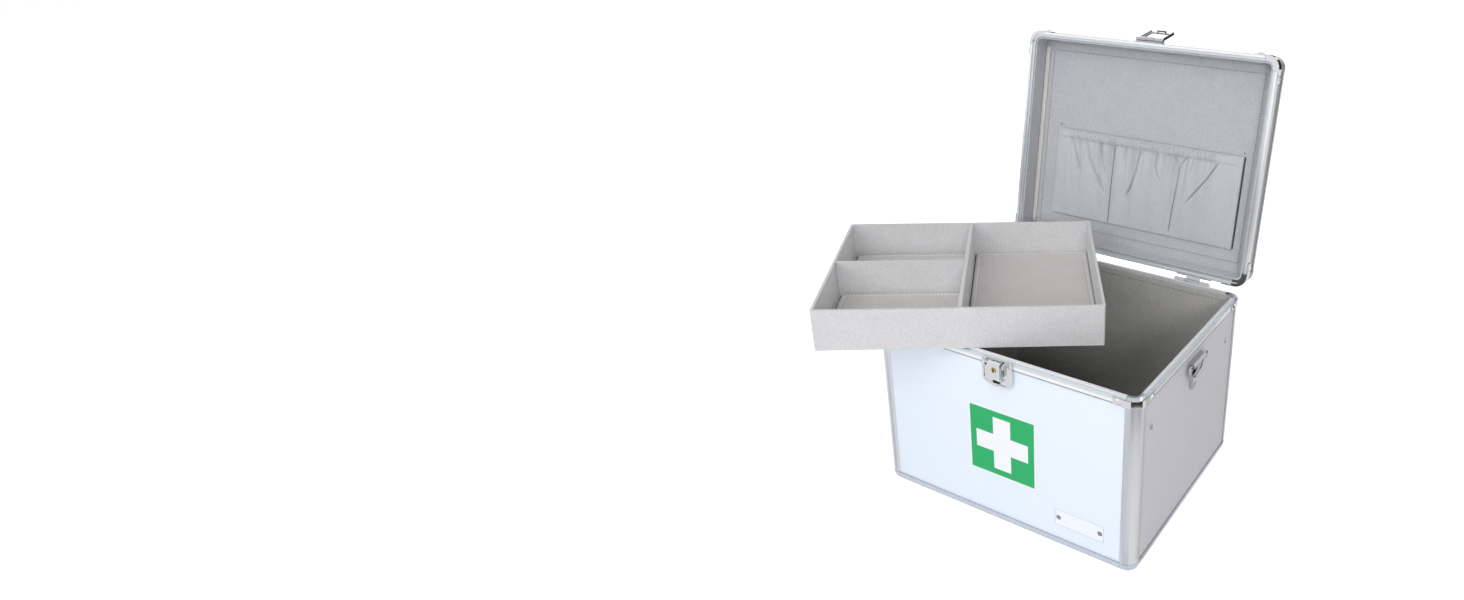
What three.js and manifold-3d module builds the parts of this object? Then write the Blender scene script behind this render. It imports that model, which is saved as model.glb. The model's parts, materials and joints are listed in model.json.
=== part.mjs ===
// Lockable medicine case: an aluminium-framed box with a hinged lid, a key lock and a lift-out tray.
// Millimetres, +Z up. The origin is the centre of the body's underside, the front faces -Y.

import * as THREE from 'three';
import { mergeVertices } from 'three/addons/utils/BufferGeometryUtils.js';
import Module from 'manifold-3d';

const wasm = await Module();
wasm.setup();

// Driving dimensions

const FIT = { gap: 0.3, overrun: 2 };

const CASE = {
  width: 320,
  depth: 264,
  bodyHeight: 210.5,
  lidHeight: 36.4,
  cornerRadius: 13.4,
  edgeRadius: 9,
  sight: 16,
  trimHeight: 12.1,
};

const PROFILE = { wall: 1.2, panel: 3, panelChamfer: 4, webShare: 1 / 3 };

const RIM = { leg: 9.9, drop: 2.2, deck: 2.6, lip: 3 };

const CHROME = { proud: 1.1, wall: 1, deck: 1, reach: 29, rivetAt: 22.5 };

const RIVET = { radius: 3.6, height: 1.7, sink: 0.3 };

const LINER = { board: 2, bodyBelowRim: 3, lidBelowRim: 3.4 };

const LEDGE = { thickness: 1.5, height: 12, shelf: 8, fromEnd: 20, top: 39 };

const HINGE = {
  behind: 7,
  below: 4,
  openDegrees: 100.25,
  fromSide: 64,
  length: 44,
  leaf: 1.2,
  leafHeight: 21,
  knuckle: 3,
  pin: 1.5,
  middle: 18,
  arm: 1.6,
};

const LOCK = {
  x: 1,
  width: 36,
  top: 1.4,
  bottom: 32,
  cornerRadius: 9,
  plate: 1.2,
  border: 2,
  borderRise: 0.8,
  pad: 0.5,
};

const LEVER = {
  width: 14.2,
  top: 2,
  slope: 1.6,
  bottom: 20.4,
  front: 8,
  back: 2.6,
  sheet: 1,
  pivotOut: 5,
  pivotDown: 5,
  knuckle: 3,
  pin: 1.2,
};

const EAR = { gap: 3.2, thickness: 1.2, radius: 3.6 };

const SPRING = { wire: 0.6, pitch: 1.15, turns: 2, leg: 9, legLean: 1.5 };

const SPRING_LEG_SHARES = [0.33, 0.66, 1];

const TONGUE = {
  sheet: 1,
  out: 2.1,
  start: 15.2,
  bend: 22.4,
  radius: 4.1,
  lip: 1.1,
  toothWidth: 7,
  toothBottom: 29.2,
};

const CYLINDER = {
  radius: 2.8,
  down: 10.5,
  back: 3.2,
  proud: 0.6,
  barrelRadius: 4.3,
  slotWidth: 1.1,
  slotHeight: 3.8,
  slotDepth: 2.6,
  wardWidth: 1.9,
};

const HASP = {
  width: 35,
  bottom: 0.8,
  top: 12,
  cornerRadius: 3,
  plate: 1.2,
  pinUp: 6,
  knuckle: 2.3,
  pin: 1.2,
  middle: 10.4,
  foldDegrees: 164,
};

const FRAME = {
  width: 30.4,
  inside: 24.8,
  sheet: 1.2,
  out: 0.6,
  flange: 2,
  start: 2.7,
  barTop: 3.4,
  bar: 2,
  lowerBar: 31.8,
  lowerBarHeight: 2.2,
  end: 36,
  endRadius: 1.3,
};

const HOOP = { width: 11.6, wire: 1.4, reach: 2.8 };

const RING = { halfWidth: 22, drop: 19, wire: 2.2, out: 4.7, down: 21.5 };

const BRACKET = {
  plate: 1.2,
  width: 32,
  top: 18.4,
  shoulder: 31,
  neck: 40,
  tabWidth: 17,
  tabCentre: 49,
  tube: 3.4,
  rivet: 3.4,
};

const HANDLE = {
  spread: 100,
  reach: 27,
  bend: 9,
  pivotUp: 7.4,
  barWidth: 7,
  barHeight: 5,
  gripLength: 74,
  gripWidth: 12,
  gripHeight: 9,
  eye: 4,
  eyeWidth: 7.4,
  pin: 1.6,
  earWidth: 3,
  baseLength: 24,
  base: 2,
};

const TRAY = {
  width: 295,
  depth: 232.5,
  height: 45.6,
  wall: 3,
  floor: 3,
  cornerRadius: 2,
  x: -105.4,
  y: -38.4,
  yawDegrees: 33.1,
  dividerX: 0.5,
  dividerY: 4,
  divider: 4,
  dividerBelow: 0.8,
};

const PAD = { thickness: 2.4, crown: 1.6, side: 1.4, wideSide: 3.2, seamInset: 7, seamDepth: 0.9, seamWidth: 3.5 };

const POCKET = {
  x: 3.2,
  width: 251.5,
  hingeEdge: 35,
  mouthEdge: 147,
  cloth: 1.2,
  seam: 1.5,
  bulge: 7.5,
  fold: 1.5,
  band: 13,
  bandRise: 2.4,
};

const POCKET_SEAM_SHARES = [0, 0.304, 0.666, 1];

const CLOTH = { archPower: 0.7, bellyPower: 0.8, padEdgeShare: 0.5 };

const COUNT = {
  arc: 3,
  edgeArc: 4,
  drum: 14,
  smallDrum: 10,
  dome: 10,
  domeSteps: 2,
  ringSides: 8,
  ringSteps: 16,
  springSides: 5,
  springStepsPerTurn: 8,
  pocketColumns: 42,
  pocketRows: 9,
  pocketFolds: 3,
  padColumns: 10,
  padRows: 8,
  handleSteps: 18,
  handleArc: 2,
};

// Sizes worked out from the driving dimensions

const slotWidth = PROFILE.panel + 2 * FIT.gap;
const panelOuter = PROFILE.wall + FIT.gap;
const panelInner = panelOuter + PROFILE.panel;
const innerLeg = PROFILE.wall + slotWidth;
const rimWidth = innerLeg + PROFILE.wall;
const webInner = rimWidth - FIT.gap;
const linerOuter = rimWidth + FIT.gap;
const linerInner = linerOuter + LINER.board;
const rimRecess = RIM.drop + FIT.gap;
const lidSeat = CASE.bodyHeight - RIM.drop + FIT.gap;
const lidTop = lidSeat + CASE.lidHeight;

// How far from the outer face a panel's edge starts, so that it clears a rounded profile.
function panelEdge(radius, facets) {
  const inner = radius - PROFILE.wall;
  const flats = inner * Math.cos(Math.PI / 4 / facets);
  return radius - Math.sqrt(flats ** 2 - (inner - FIT.gap) ** 2) + FIT.gap;
}

const haspPinOut = HASP.plate + HASP.knuckle + 2 * FIT.gap;

const sideEdge = panelEdge(CASE.cornerRadius, 2 * COUNT.arc);
const bottomEdge = panelEdge(CASE.edgeRadius, COUNT.edgeArc);

// Materials

function metal(color, roughness) {
  return new THREE.MeshStandardMaterial({ color, roughness, metalness: 1, flatShading: true });
}

function matte(color, roughness) {
  return new THREE.MeshStandardMaterial({ color, roughness, metalness: 0, flatShading: true });
}

const satinAluminium = () => metal(0xd4d6d9, 0.38);
const chrome = () => metal(0xe6e7ea, 0.12);
const springSteel = () => metal(0x5d6064, 0.35);
const brass = () => metal(0xc79a45, 0.3);
const whiteLaminate = () => matte(0xe6edf6, 0.45);
const greyLaminate = () => matte(0xc3c4ca, 0.5);
const greyFelt = () => matte(0xb4b6ba, 0.95);
const trayFelt = () => matte(0xcfcdcf, 0.95);
const pocketCloth = () => matte(0xc7ccd4, 0.85);
const blackGrip = () => matte(0x2b2c2e, 0.6);

// Solids

function solid(geometry) {
  const bare = geometry.index ? geometry.toNonIndexed() : geometry.clone();
  bare.deleteAttribute('normal');
  bare.deleteAttribute('uv');
  const welded = mergeVertices(bare);
  const corners = welded.index.array;
  const kept = [];
  for (let i = 0; i < corners.length; i += 3) {
    const [a, b, c] = corners.slice(i, i + 3);
    if (a !== b && b !== c && c !== a) kept.push(a, b, c);
  }
  const mesh = new wasm.Mesh({
    numProp: 3,
    vertProperties: new Float32Array(welded.attributes.position.array),
    triVerts: new Uint32Array(kept),
  });
  return new wasm.Manifold(mesh);
}

function join(...solids) {
  return solids.reduce((whole, piece) => whole.add(piece));
}

function skinOf(body) {
  const { vertProperties, triVerts } = body.getMesh();
  const geometry = new THREE.BufferGeometry();
  geometry.setAttribute('position', new THREE.BufferAttribute(new Float32Array(vertProperties), 3));
  geometry.setIndex(new THREE.BufferAttribute(new Uint32Array(triVerts), 1));
  return geometry;
}

function moved(body, matrix) {
  return solid(skinOf(body).applyMatrix4(matrix));
}

function piece(name, body, material) {
  const geometry = skinOf(body);
  geometry.computeVertexNormals();
  const mesh = new THREE.Mesh(geometry, material);
  mesh.name = name;
  return mesh;
}

function box(x0, x1, y0, y1, z0, z1) {
  const geometry = new THREE.BoxGeometry(x1 - x0, y1 - y0, z1 - z0);
  geometry.translate((x0 + x1) / 2, (y0 + y1) / 2, (z0 + z1) / 2);
  return solid(geometry);
}

// A box on a wall: out is measured away from the wall, along -Y.
function wallBox(x0, x1, out0, out1, z0, z1) {
  return box(x0, x1, -out1, -out0, z0, z1);
}

// A cylinder along an axis, at the other two coordinates a and b.
function drum(axis, radius, from, to, a, b, sides = COUNT.drum) {
  const geometry = new THREE.CylinderGeometry(radius, radius, to - from, sides);
  const middle = (from + to) / 2;
  if (axis === 'x') geometry.rotateZ(-Math.PI / 2).translate(middle, a, b);
  if (axis === 'y') geometry.translate(a, middle, b);
  if (axis === 'z') geometry.rotateX(Math.PI / 2).translate(a, b, middle);
  return solid(geometry);
}

function extrude(shape, depth, xAxis, yAxis, zAxis) {
  const geometry = new THREE.ExtrudeGeometry(shape, {
    depth,
    bevelEnabled: false,
    curveSegments: COUNT.arc,
  });
  const basis = new THREE.Matrix4().makeBasis(
    new THREE.Vector3(...xAxis),
    new THREE.Vector3(...yAxis),
    new THREE.Vector3(...zAxis),
  );
  return geometry.applyMatrix4(basis);
}

// A plan outline raised from one height to another.
function slab(shape, z0, z1) {
  return solid(extrude(shape, z1 - z0, [1, 0, 0], [0, 1, 0], [0, 0, 1]).translate(0, 0, z0));
}

// A front view outline thickened away from the wall.
function wallPlate(shape, out0, out1) {
  return solid(extrude(shape, out1 - out0, [1, 0, 0], [0, 0, 1], [0, -1, 0]).translate(0, -out0, 0));
}

// A side view outline, in distances out from the wall and up, drawn along X.
function prism(shape, x0, x1) {
  return solid(extrude(shape, x1 - x0, [0, -1, 0], [0, 0, 1], [-1, 0, 0]).translate(x1, 0, 0));
}

// A flat strip between two side view points, drawn along X.
function strip(from, to, thickness, x0, x1) {
  const along = new THREE.Vector2(to[0] - from[0], to[1] - from[1]).normalize();
  const half = new THREE.Vector2(-along.y, along.x).multiplyScalar(thickness / 2);
  const shape = new THREE.Shape();
  shape.moveTo(from[0] - half.x, from[1] - half.y);
  shape.lineTo(to[0] - half.x, to[1] - half.y);
  shape.lineTo(to[0] + half.x, to[1] + half.y);
  shape.lineTo(from[0] + half.x, from[1] + half.y);
  return prism(shape, x0, x1);
}

// A low round rivet head that stands out from a wall.
function rivetHead(x, out, z, radius = RIVET.radius) {
  const profile = [new THREE.Vector2(0, -RIVET.sink), new THREE.Vector2(radius, -RIVET.sink)];
  for (let i = 0; i <= COUNT.domeSteps; i += 1) {
    const turn = (i / COUNT.domeSteps) * (Math.PI / 2);
    profile.push(new THREE.Vector2(radius * Math.cos(turn), RIVET.height * Math.sin(turn)));
  }
  profile[profile.length - 1].x = 0;
  const geometry = new THREE.LatheGeometry(profile, COUNT.dome);
  geometry.rotateX(Math.PI).translate(x, -out, z);
  return solid(geometry);
}

// A closed skin over a grid: place(u, v) gives x, y, the low and the high surface.
function quilt(columns, rows, place) {
  const positions = [];
  const faces = [];
  const at = (i, j, level) => (level * (rows + 1) + j) * (columns + 1) + i;
  for (const level of [0, 1]) {
    for (let j = 0; j <= rows; j += 1) {
      for (let i = 0; i <= columns; i += 1) {
        const { x, y, low, high } = place(i / columns, j / rows);
        positions.push(x, y, level ? high : low);
      }
    }
  }
  const quad = (a, b, c, d) => faces.push(a, b, c, a, c, d);
  for (let j = 0; j < rows; j += 1) {
    for (let i = 0; i < columns; i += 1) {
      quad(at(i, j, 1), at(i + 1, j, 1), at(i + 1, j + 1, 1), at(i, j + 1, 1));
      quad(at(i, j, 0), at(i, j + 1, 0), at(i + 1, j + 1, 0), at(i + 1, j, 0));
    }
  }
  for (let i = 0; i < columns; i += 1) {
    quad(at(i, 0, 0), at(i + 1, 0, 0), at(i + 1, 0, 1), at(i, 0, 1));
    quad(at(i, rows, 0), at(i, rows, 1), at(i + 1, rows, 1), at(i + 1, rows, 0));
  }
  for (let j = 0; j < rows; j += 1) {
    quad(at(0, j, 0), at(0, j, 1), at(0, j + 1, 1), at(0, j + 1, 0));
    quad(at(columns, j, 0), at(columns, j + 1, 0), at(columns, j + 1, 1), at(columns, j, 1));
  }
  const geometry = new THREE.BufferGeometry();
  geometry.setAttribute('position', new THREE.Float32BufferAttribute(positions, 3));
  geometry.setIndex(faces);
  return solid(geometry);
}

// Outlines

function roundedRect(width, height, radius, centreY = 0) {
  const x = width / 2;
  const low = centreY - height / 2;
  const high = centreY + height / 2;
  const shape = new THREE.Shape();
  if (radius <= 0) {
    shape.moveTo(-x, low);
    shape.lineTo(x, low);
    shape.lineTo(x, high);
    shape.lineTo(-x, high);
    return shape;
  }
  shape.absarc(x - radius, low + radius, radius, -Math.PI / 2, 0, false);
  shape.absarc(x - radius, high - radius, radius, 0, Math.PI / 2, false);
  shape.absarc(-x + radius, high - radius, radius, Math.PI / 2, Math.PI, false);
  shape.absarc(-x + radius, low + radius, radius, Math.PI, 1.5 * Math.PI, false);
  return shape;
}

// The case's plan, drawn in from its outer faces.
function plan(inset) {
  const radius = CASE.cornerRadius - inset;
  return roundedRect(CASE.width - 2 * inset, CASE.depth - 2 * inset, radius);
}

// A band round the case between two insets and two heights.
function band(outer, inner, z0, z1) {
  const shape = plan(outer);
  shape.holes.push(plan(inner));
  return slab(shape, z0, z1);
}

// The case's block with its rounded lower edge, drawn in from its outer faces.
function roundedBlock(inset, top) {
  const radius = CASE.edgeRadius - inset;
  const geometry = new THREE.ExtrudeGeometry(plan(inset), {
    depth: top,
    bevelEnabled: true,
    bevelThickness: radius,
    bevelSize: radius,
    bevelOffset: -radius,
    bevelSegments: COUNT.edgeArc,
    curveSegments: COUNT.arc,
  });
  geometry.translate(0, 0, inset + radius);
  return solid(geometry);
}

// The thin rounded skin that the edge profiles share.
function roundedSkin(z1) {
  const skin = roundedBlock(0, z1).subtract(roundedBlock(PROFILE.wall, z1));
  return skin.intersect(box(-CASE.width, CASE.width, -CASE.depth, CASE.depth, 0, z1));
}

// The four corner cells, a given size along each side.
function cornerCells(size, z0, z1) {
  const cells = [];
  for (const sx of [-1, 1]) {
    for (const sy of [-1, 1]) {
      const x = [sx * (CASE.width / 2 + FIT.overrun), sx * (CASE.width / 2 - size)];
      const y = [sy * (CASE.depth / 2 + FIT.overrun), sy * (CASE.depth / 2 - size)];
      cells.push(box(Math.min(...x), Math.max(...x), Math.min(...y), Math.max(...y), z0, z1));
    }
  }
  return join(...cells);
}

// One corner cell at the plan's front left corner, then moved so that the corner is the origin.
function cornerCell(size, z0, z1) {
  const x = -CASE.width / 2;
  const y = -CASE.depth / 2;
  return box(x - FIT.overrun, x + size, y - FIT.overrun, y + size, z0, z1);
}

function cornerToOrigin(mesh) {
  mesh.geometry.translate(CASE.width / 2, CASE.depth / 2, 0);
  return mesh;
}

const CORNERS = [
  { name: 'front_left', flipped: 'back_left', x: -1, y: -1, turn: 0 },
  { name: 'front_right', flipped: 'back_right', x: 1, y: -1, turn: 1 },
  { name: 'back_right', flipped: 'front_right', x: 1, y: 1, turn: 2 },
  { name: 'back_left', flipped: 'front_left', x: -1, y: 1, turn: 3 },
];

// Places one copy of a corner piece at each corner of the plan.
function placeCorners(group, label, build, flipped = false) {
  for (const corner of CORNERS) {
    const mesh = build(`${label}_${flipped ? corner.flipped : corner.name}`);
    mesh.position.set((corner.x * CASE.width) / 2, (corner.y * CASE.depth) / 2, 0);
    mesh.rotation.z = (corner.turn * Math.PI) / 2;
    group.add(mesh);
  }
}

const SIDES = [
  { name: 'front', turn: 0, span: CASE.width, x: 0, y: -CASE.depth / 2 },
  { name: 'right', turn: 1, span: CASE.depth, x: CASE.width / 2, y: 0 },
  { name: 'back', turn: 2, span: CASE.width, x: 0, y: CASE.depth / 2 },
  { name: 'left', turn: 3, span: CASE.depth, x: -CASE.width / 2, y: 0 },
];

// Edge profiles and panels that the body and the lid share

// The edge trim: a rounded skin along each side, joined by the slotted flanges inside it.
function edgeTrim() {
  const middle = CASE.edgeRadius - (CASE.edgeRadius - PROFILE.wall / 2) * Math.SQRT1_2;
  const web = band(middle, webInner, middle, webInner);
  const skin = roundedSkin(CASE.trimHeight).subtract(slab(plan(CASE.sight), -FIT.overrun, CASE.trimHeight));
  const cells = cornerCells(CASE.sight + FIT.gap, -FIT.overrun, CASE.trimHeight + FIT.overrun);
  const upright = band(innerLeg, rimWidth, innerLeg, CASE.trimHeight);
  const ledge = band(innerLeg, CASE.sight, innerLeg, rimWidth);
  return join(skin, web).subtract(cells).add(upright).add(ledge);
}

// The rounded cap over a corner of the trim.
function cornerCap(height) {
  return roundedSkin(height).intersect(cornerCell(CASE.sight, -FIT.overrun, height));
}

// The large flat panel with a rebated edge, flush with the trim.
function flatPanel() {
  const board = slab(plan(bottomEdge), panelOuter, panelInner);
  const face = slab(plan(CASE.sight + FIT.gap), 0, panelOuter + FIT.gap);
  return board.add(face);
}

// The felt-covered lining box.
function lining(height) {
  const outer = slab(plan(linerOuter), linerOuter, height);
  const inner = slab(plan(linerInner), linerInner, height + FIT.overrun);
  return outer.subtract(inner);
}

// Where a rim's deck lies and which band of it is raised: the body's inner lip or the lid's outer band.
function rimLevels(height, isLid) {
  if (isLid) {
    return { base: height - rimRecess, from: 0, to: rimWidth - RIM.lip - FIT.gap, skinTop: height };
  }
  return { base: height - RIM.drop, from: rimWidth - RIM.lip, to: rimWidth, skinTop: height - RIM.drop };
}

// The rim frame: two legs that hold the panels, a deck, and a raised band.
function rimFrame(height, isLid) {
  const level = rimLevels(height, isLid);
  const foot = height - RIM.leg;
  const under = level.base - RIM.deck;
  const frame = join(
    band(0, rimWidth, under, level.base),
    band(0, PROFILE.wall, foot, under + FIT.gap),
    band(innerLeg, rimWidth, foot, under + FIT.gap),
    band(level.from, level.to, level.base - FIT.gap, height),
  );
  const cellTop = height + FIT.overrun;
  const cells = cornerCells(CASE.sight + FIT.gap, foot - FIT.overrun, cellTop);
  const skinRoom = band(-FIT.overrun, CHROME.wall + FIT.gap, foot - FIT.overrun, cellTop);
  const deckRoom = band(-FIT.overrun, rimWidth + FIT.overrun, level.base - CHROME.deck - FIT.gap, cellTop);
  return frame.subtract(cells.intersect(skinRoom.add(deckRoom)));
}

// The pressed corner that covers the rim's mitre, with a rivet through each leg.
function rimCorner(height, isLid) {
  const level = rimLevels(height, isLid);
  const foot = height - RIM.leg;
  const shell = join(
    band(-CHROME.proud, CHROME.wall, foot, level.skinTop),
    band(0, rimWidth, level.base - CHROME.deck, level.base),
    band(level.from, level.to, level.base - CHROME.deck, height),
  ).intersect(cornerCell(CASE.sight, foot - FIT.overrun, height + FIT.overrun));
  const legs = band(-CHROME.proud, -FIT.gap, foot, level.skinTop);
  const leg = legs.intersect(cornerCell(CHROME.reach, foot - FIT.overrun, height + FIT.overrun));
  const rivetUp = (foot + level.skinTop) / 2;
  const front = rivetHead(CHROME.rivetAt - CASE.width / 2, CASE.depth / 2 + CHROME.proud, rivetUp);
  const side = rivetHead(CASE.depth / 2 - CHROME.rivetAt, CASE.width / 2 + CHROME.proud, rivetUp);
  const onLeft = moved(side, new THREE.Matrix4().makeRotationZ(-Math.PI / 2));
  return join(shell, leg, front, onLeft);
}

// Body

// One closed outline: the rounded skin, the slotted flanges, and the solid web between them.
function cornerPost() {
  const { cornerRadius: radius, sight } = CASE;
  const inner = radius - PROFILE.wall;
  const turn = (Math.PI / 2) * PROFILE.webShare;
  const webAt = radius - inner * Math.sin(turn);
  const shape = new THREE.Shape();
  shape.moveTo(sight, 0);
  shape.absarc(radius, radius, radius, -Math.PI / 2, -Math.PI, true);
  shape.lineTo(0, sight);
  shape.lineTo(PROFILE.wall, sight);
  shape.absarc(radius, radius, inner, -Math.PI, turn - Math.PI, false);
  shape.lineTo(innerLeg, webAt);
  shape.lineTo(innerLeg, sight);
  shape.lineTo(rimWidth, sight);
  shape.lineTo(rimWidth, rimWidth);
  shape.lineTo(sight, rimWidth);
  shape.lineTo(sight, innerLeg);
  shape.lineTo(webAt, innerLeg);
  shape.absarc(radius, radius, inner, -Math.PI / 2 - turn, -Math.PI / 2, false);
  shape.lineTo(sight, PROFILE.wall);
  return slab(shape, CASE.trimHeight + FIT.gap, CASE.bodyHeight - RIM.leg - FIT.gap);
}

function sidePanel(span) {
  const half = span / 2 - sideEdge;
  const top = CASE.bodyHeight - RIM.drop - RIM.deck - FIT.gap;
  const shape = new THREE.Shape();
  shape.moveTo(-half, top);
  shape.lineTo(-half, bottomEdge + PROFILE.panelChamfer);
  shape.lineTo(-half + PROFILE.panelChamfer, bottomEdge);
  shape.lineTo(half - PROFILE.panelChamfer, bottomEdge);
  shape.lineTo(half, bottomEdge + PROFILE.panelChamfer);
  shape.lineTo(half, top);
  return wallPlate(shape, -panelInner, -panelOuter);
}

// An angle strip that the stored tray rests on, along a side of a given span.
function trayLedge(span) {
  const half = span / 2 - LEDGE.fromEnd;
  const wall = linerInner + FIT.gap;
  const top = CASE.bodyHeight - LEDGE.top;
  const low = top - LEDGE.height;
  const upright = box(-half, half, wall, wall + LEDGE.thickness, low, top);
  const shelf = box(-half, half, wall, wall + LEDGE.thickness + LEDGE.shelf, low, low + LEDGE.thickness);
  return upright.add(shelf);
}

function buildBodyShell() {
  const group = new THREE.Group();
  for (const side of SIDES) {
    const material = side.name === 'front' || side.name === 'back' ? whiteLaminate() : greyLaminate();
    const panel = piece(`${side.name}_panel`, sidePanel(side.span), material);
    panel.position.set(side.x, side.y, 0);
    panel.rotation.z = (side.turn * Math.PI) / 2;
    group.add(panel);
  }
  for (const side of SIDES.filter(({ name }) => name === 'left' || name === 'right')) {
    const ledge = piece(`tray_ledge_${side.name}`, trayLedge(side.span), satinAluminium());
    ledge.position.set(side.x, side.y, 0);
    ledge.rotation.z = (side.turn * Math.PI) / 2;
    group.add(ledge);
  }
  placeCorners(group, 'corner_post', (name) => piece(name, cornerPost(), satinAluminium()));
  placeCorners(group, 'foot_cap', (name) => {
    return cornerToOrigin(piece(name, cornerCap(CASE.trimHeight), satinAluminium()));
  });
  placeCorners(group, 'body_rim_corner', (name) => {
    return cornerToOrigin(piece(name, rimCorner(CASE.bodyHeight, false), chrome()));
  });
  group.add(piece('base_panel', flatPanel(), whiteLaminate()));
  group.add(piece('base_trim', edgeTrim(), satinAluminium()));
  group.add(piece('body_rim', rimFrame(CASE.bodyHeight, false), satinAluminium()));
  group.add(piece('body_liner', lining(CASE.bodyHeight - LINER.bodyBelowRim), greyFelt()));
  return group;
}

// Lock, in a frame at the front face and the rim's top, with -Y out

const leverPinHalf = LEVER.width / 2 + FIT.gap + EAR.gap + EAR.thickness;

function lockPlate() {
  const outline = (inset) => {
    const x = LOCK.width / 2 - inset;
    const top = -LOCK.top - inset / 2;
    const low = -LOCK.bottom + inset;
    const radius = LOCK.cornerRadius - inset;
    const shape = new THREE.Shape();
    shape.moveTo(-x, top);
    shape.lineTo(-x, low + radius);
    shape.absarc(-x + radius, low + radius, radius, Math.PI, 1.5 * Math.PI, false);
    shape.absarc(x - radius, low + radius, radius, -Math.PI / 2, 0, false);
    shape.lineTo(x, top);
    return shape;
  };
  const front = FIT.gap + LOCK.plate;
  const border = outline(0);
  border.holes.push(outline(LOCK.border));
  const padded = wallPlate(outline(LOCK.pad), FIT.gap, front);
  const ears = [-1, 1].map((side) => leverEar(side, front));
  const pin = drum('x', LEVER.pin, -leverPinHalf, leverPinHalf, -LEVER.pivotOut, -LEVER.pivotDown);
  return join(padded, wallPlate(border, FIT.gap, front + LOCK.borderRise), platePad(), ...ears, pin);
}

// The pressed back of the lock plate that reaches the panel below the rim.
function platePad() {
  const width = LOCK.width - 2 * LOCK.border;
  const high = -RIM.leg - FIT.gap;
  const low = -LOCK.bottom + LOCK.border;
  const shape = roundedRect(width, high - low, LOCK.cornerRadius - LOCK.border, (high + low) / 2);
  return wallPlate(shape, FIT.gap - panelOuter, FIT.gap + LOCK.plate / 2);
}

// An ear beside the lever that holds the end of its pin.
function leverEar(side, front) {
  const inner = LEVER.width / 2 + FIT.gap + EAR.gap;
  const x0 = side > 0 ? inner : -inner - EAR.thickness;
  const x1 = x0 + EAR.thickness;
  const up = -LEVER.pivotDown;
  const foot = wallBox(x0, x1, front - LOCK.plate / 2, LEVER.pivotOut, up - EAR.radius, up + EAR.radius);
  return foot.add(drum('x', EAR.radius, x0, x1, -LEVER.pivotOut, up));
}

// The folded cover that the key cylinder sits in, open towards the plate.
function lockLever() {
  const profile = (inset, back) => {
    const shape = new THREE.Shape();
    const radius = LEVER.knuckle - inset;
    shape.moveTo(LEVER.front - inset, -LEVER.top - LEVER.slope - inset);
    shape.lineTo(LEVER.pivotOut, -LEVER.top - inset);
    shape.absarc(LEVER.pivotOut, -LEVER.pivotDown, radius, Math.PI / 2, Math.PI, false);
    shape.lineTo(back, -LEVER.pivotDown - LEVER.knuckle);
    shape.lineTo(back, -LEVER.bottom - (inset ? FIT.overrun : 0));
    shape.lineTo(LEVER.front - inset, -LEVER.bottom - (inset ? FIT.overrun : 0));
    return shape;
  };
  const half = LEVER.width / 2;
  const inside = half - LEVER.sheet;
  const outer = prism(profile(0, LEVER.back), -half, half);
  const hollow = prism(profile(LEVER.sheet, -FIT.overrun), -inside, inside);
  const up = -CYLINDER.down;
  const barrel = drum('y', CYLINDER.barrelRadius, -LEVER.front + LEVER.sheet / 2, -CYLINDER.back, 0, up);
  const bore = drum('y', CYLINDER.radius + FIT.gap, -LEVER.front - FIT.overrun, 0, 0, up);
  const pinBore = drum('x', LEVER.pin + FIT.gap, -LEVER.width, LEVER.width, -LEVER.pivotOut, -LEVER.pivotDown);
  return outer.subtract(hollow).add(barrel).subtract(bore).subtract(pinBore);
}

// The sprung hook below the cover that holds the hasp's lower bar.
function lockTongue() {
  const back = TONGUE.out;
  const front = back + TONGUE.sheet;
  const centre = back + TONGUE.radius;
  const end = centre + TONGUE.lip;
  const shape = new THREE.Shape();
  shape.moveTo(back, -TONGUE.start);
  shape.lineTo(back, -TONGUE.bend);
  shape.absarc(centre, -TONGUE.bend, TONGUE.radius, Math.PI, 1.5 * Math.PI, false);
  shape.lineTo(end, -TONGUE.bend - TONGUE.radius);
  shape.lineTo(end, -TONGUE.bend - TONGUE.radius + TONGUE.sheet);
  shape.lineTo(centre, -TONGUE.bend - TONGUE.radius + TONGUE.sheet);
  shape.absarc(centre, -TONGUE.bend, TONGUE.radius - TONGUE.sheet, 1.5 * Math.PI, Math.PI, true);
  shape.lineTo(front, -TONGUE.start);
  const half = TONGUE.toothWidth / 2;
  const toothTop = -TONGUE.bend - TONGUE.radius + TONGUE.sheet;
  const tooth = wallBox(-half, half, end - TONGUE.sheet, end, -TONGUE.toothBottom, toothTop);
  const side = LEVER.width / 2 - LEVER.sheet - FIT.gap;
  return prism(shape, -side, side).add(tooth);
}

function keyCylinder() {
  const front = LEVER.front + CYLINDER.proud;
  const up = -CYLINDER.down;
  const body = drum('y', CYLINDER.radius, -front, -CYLINDER.back, 0, up);
  const depth = front - CYLINDER.slotDepth;
  const half = CYLINDER.slotWidth / 2;
  const slotLow = up - CYLINDER.slotHeight / 2;
  const slot = wallBox(-half, half, depth, front + FIT.overrun, slotLow, up + CYLINDER.slotHeight / 2);
  const wardHalf = CYLINDER.wardWidth / 2;
  const ward = wallBox(-wardHalf, wardHalf, depth, front + FIT.overrun, up, up + wardHalf);
  return body.subtract(slot).subtract(ward);
}

// A tube of a given wire along a curve.
function wireAlong(curve, wire, sides, steps) {
  const section = new THREE.Shape();
  section.absarc(0, 0, wire, 0, 2 * Math.PI, false);
  const outline = section.getSpacedPoints(sides).slice(0, sides);
  return new THREE.ExtrudeGeometry(new THREE.Shape(outline), {
    steps,
    extrudePath: curve,
    bevelEnabled: false,
  });
}

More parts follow.
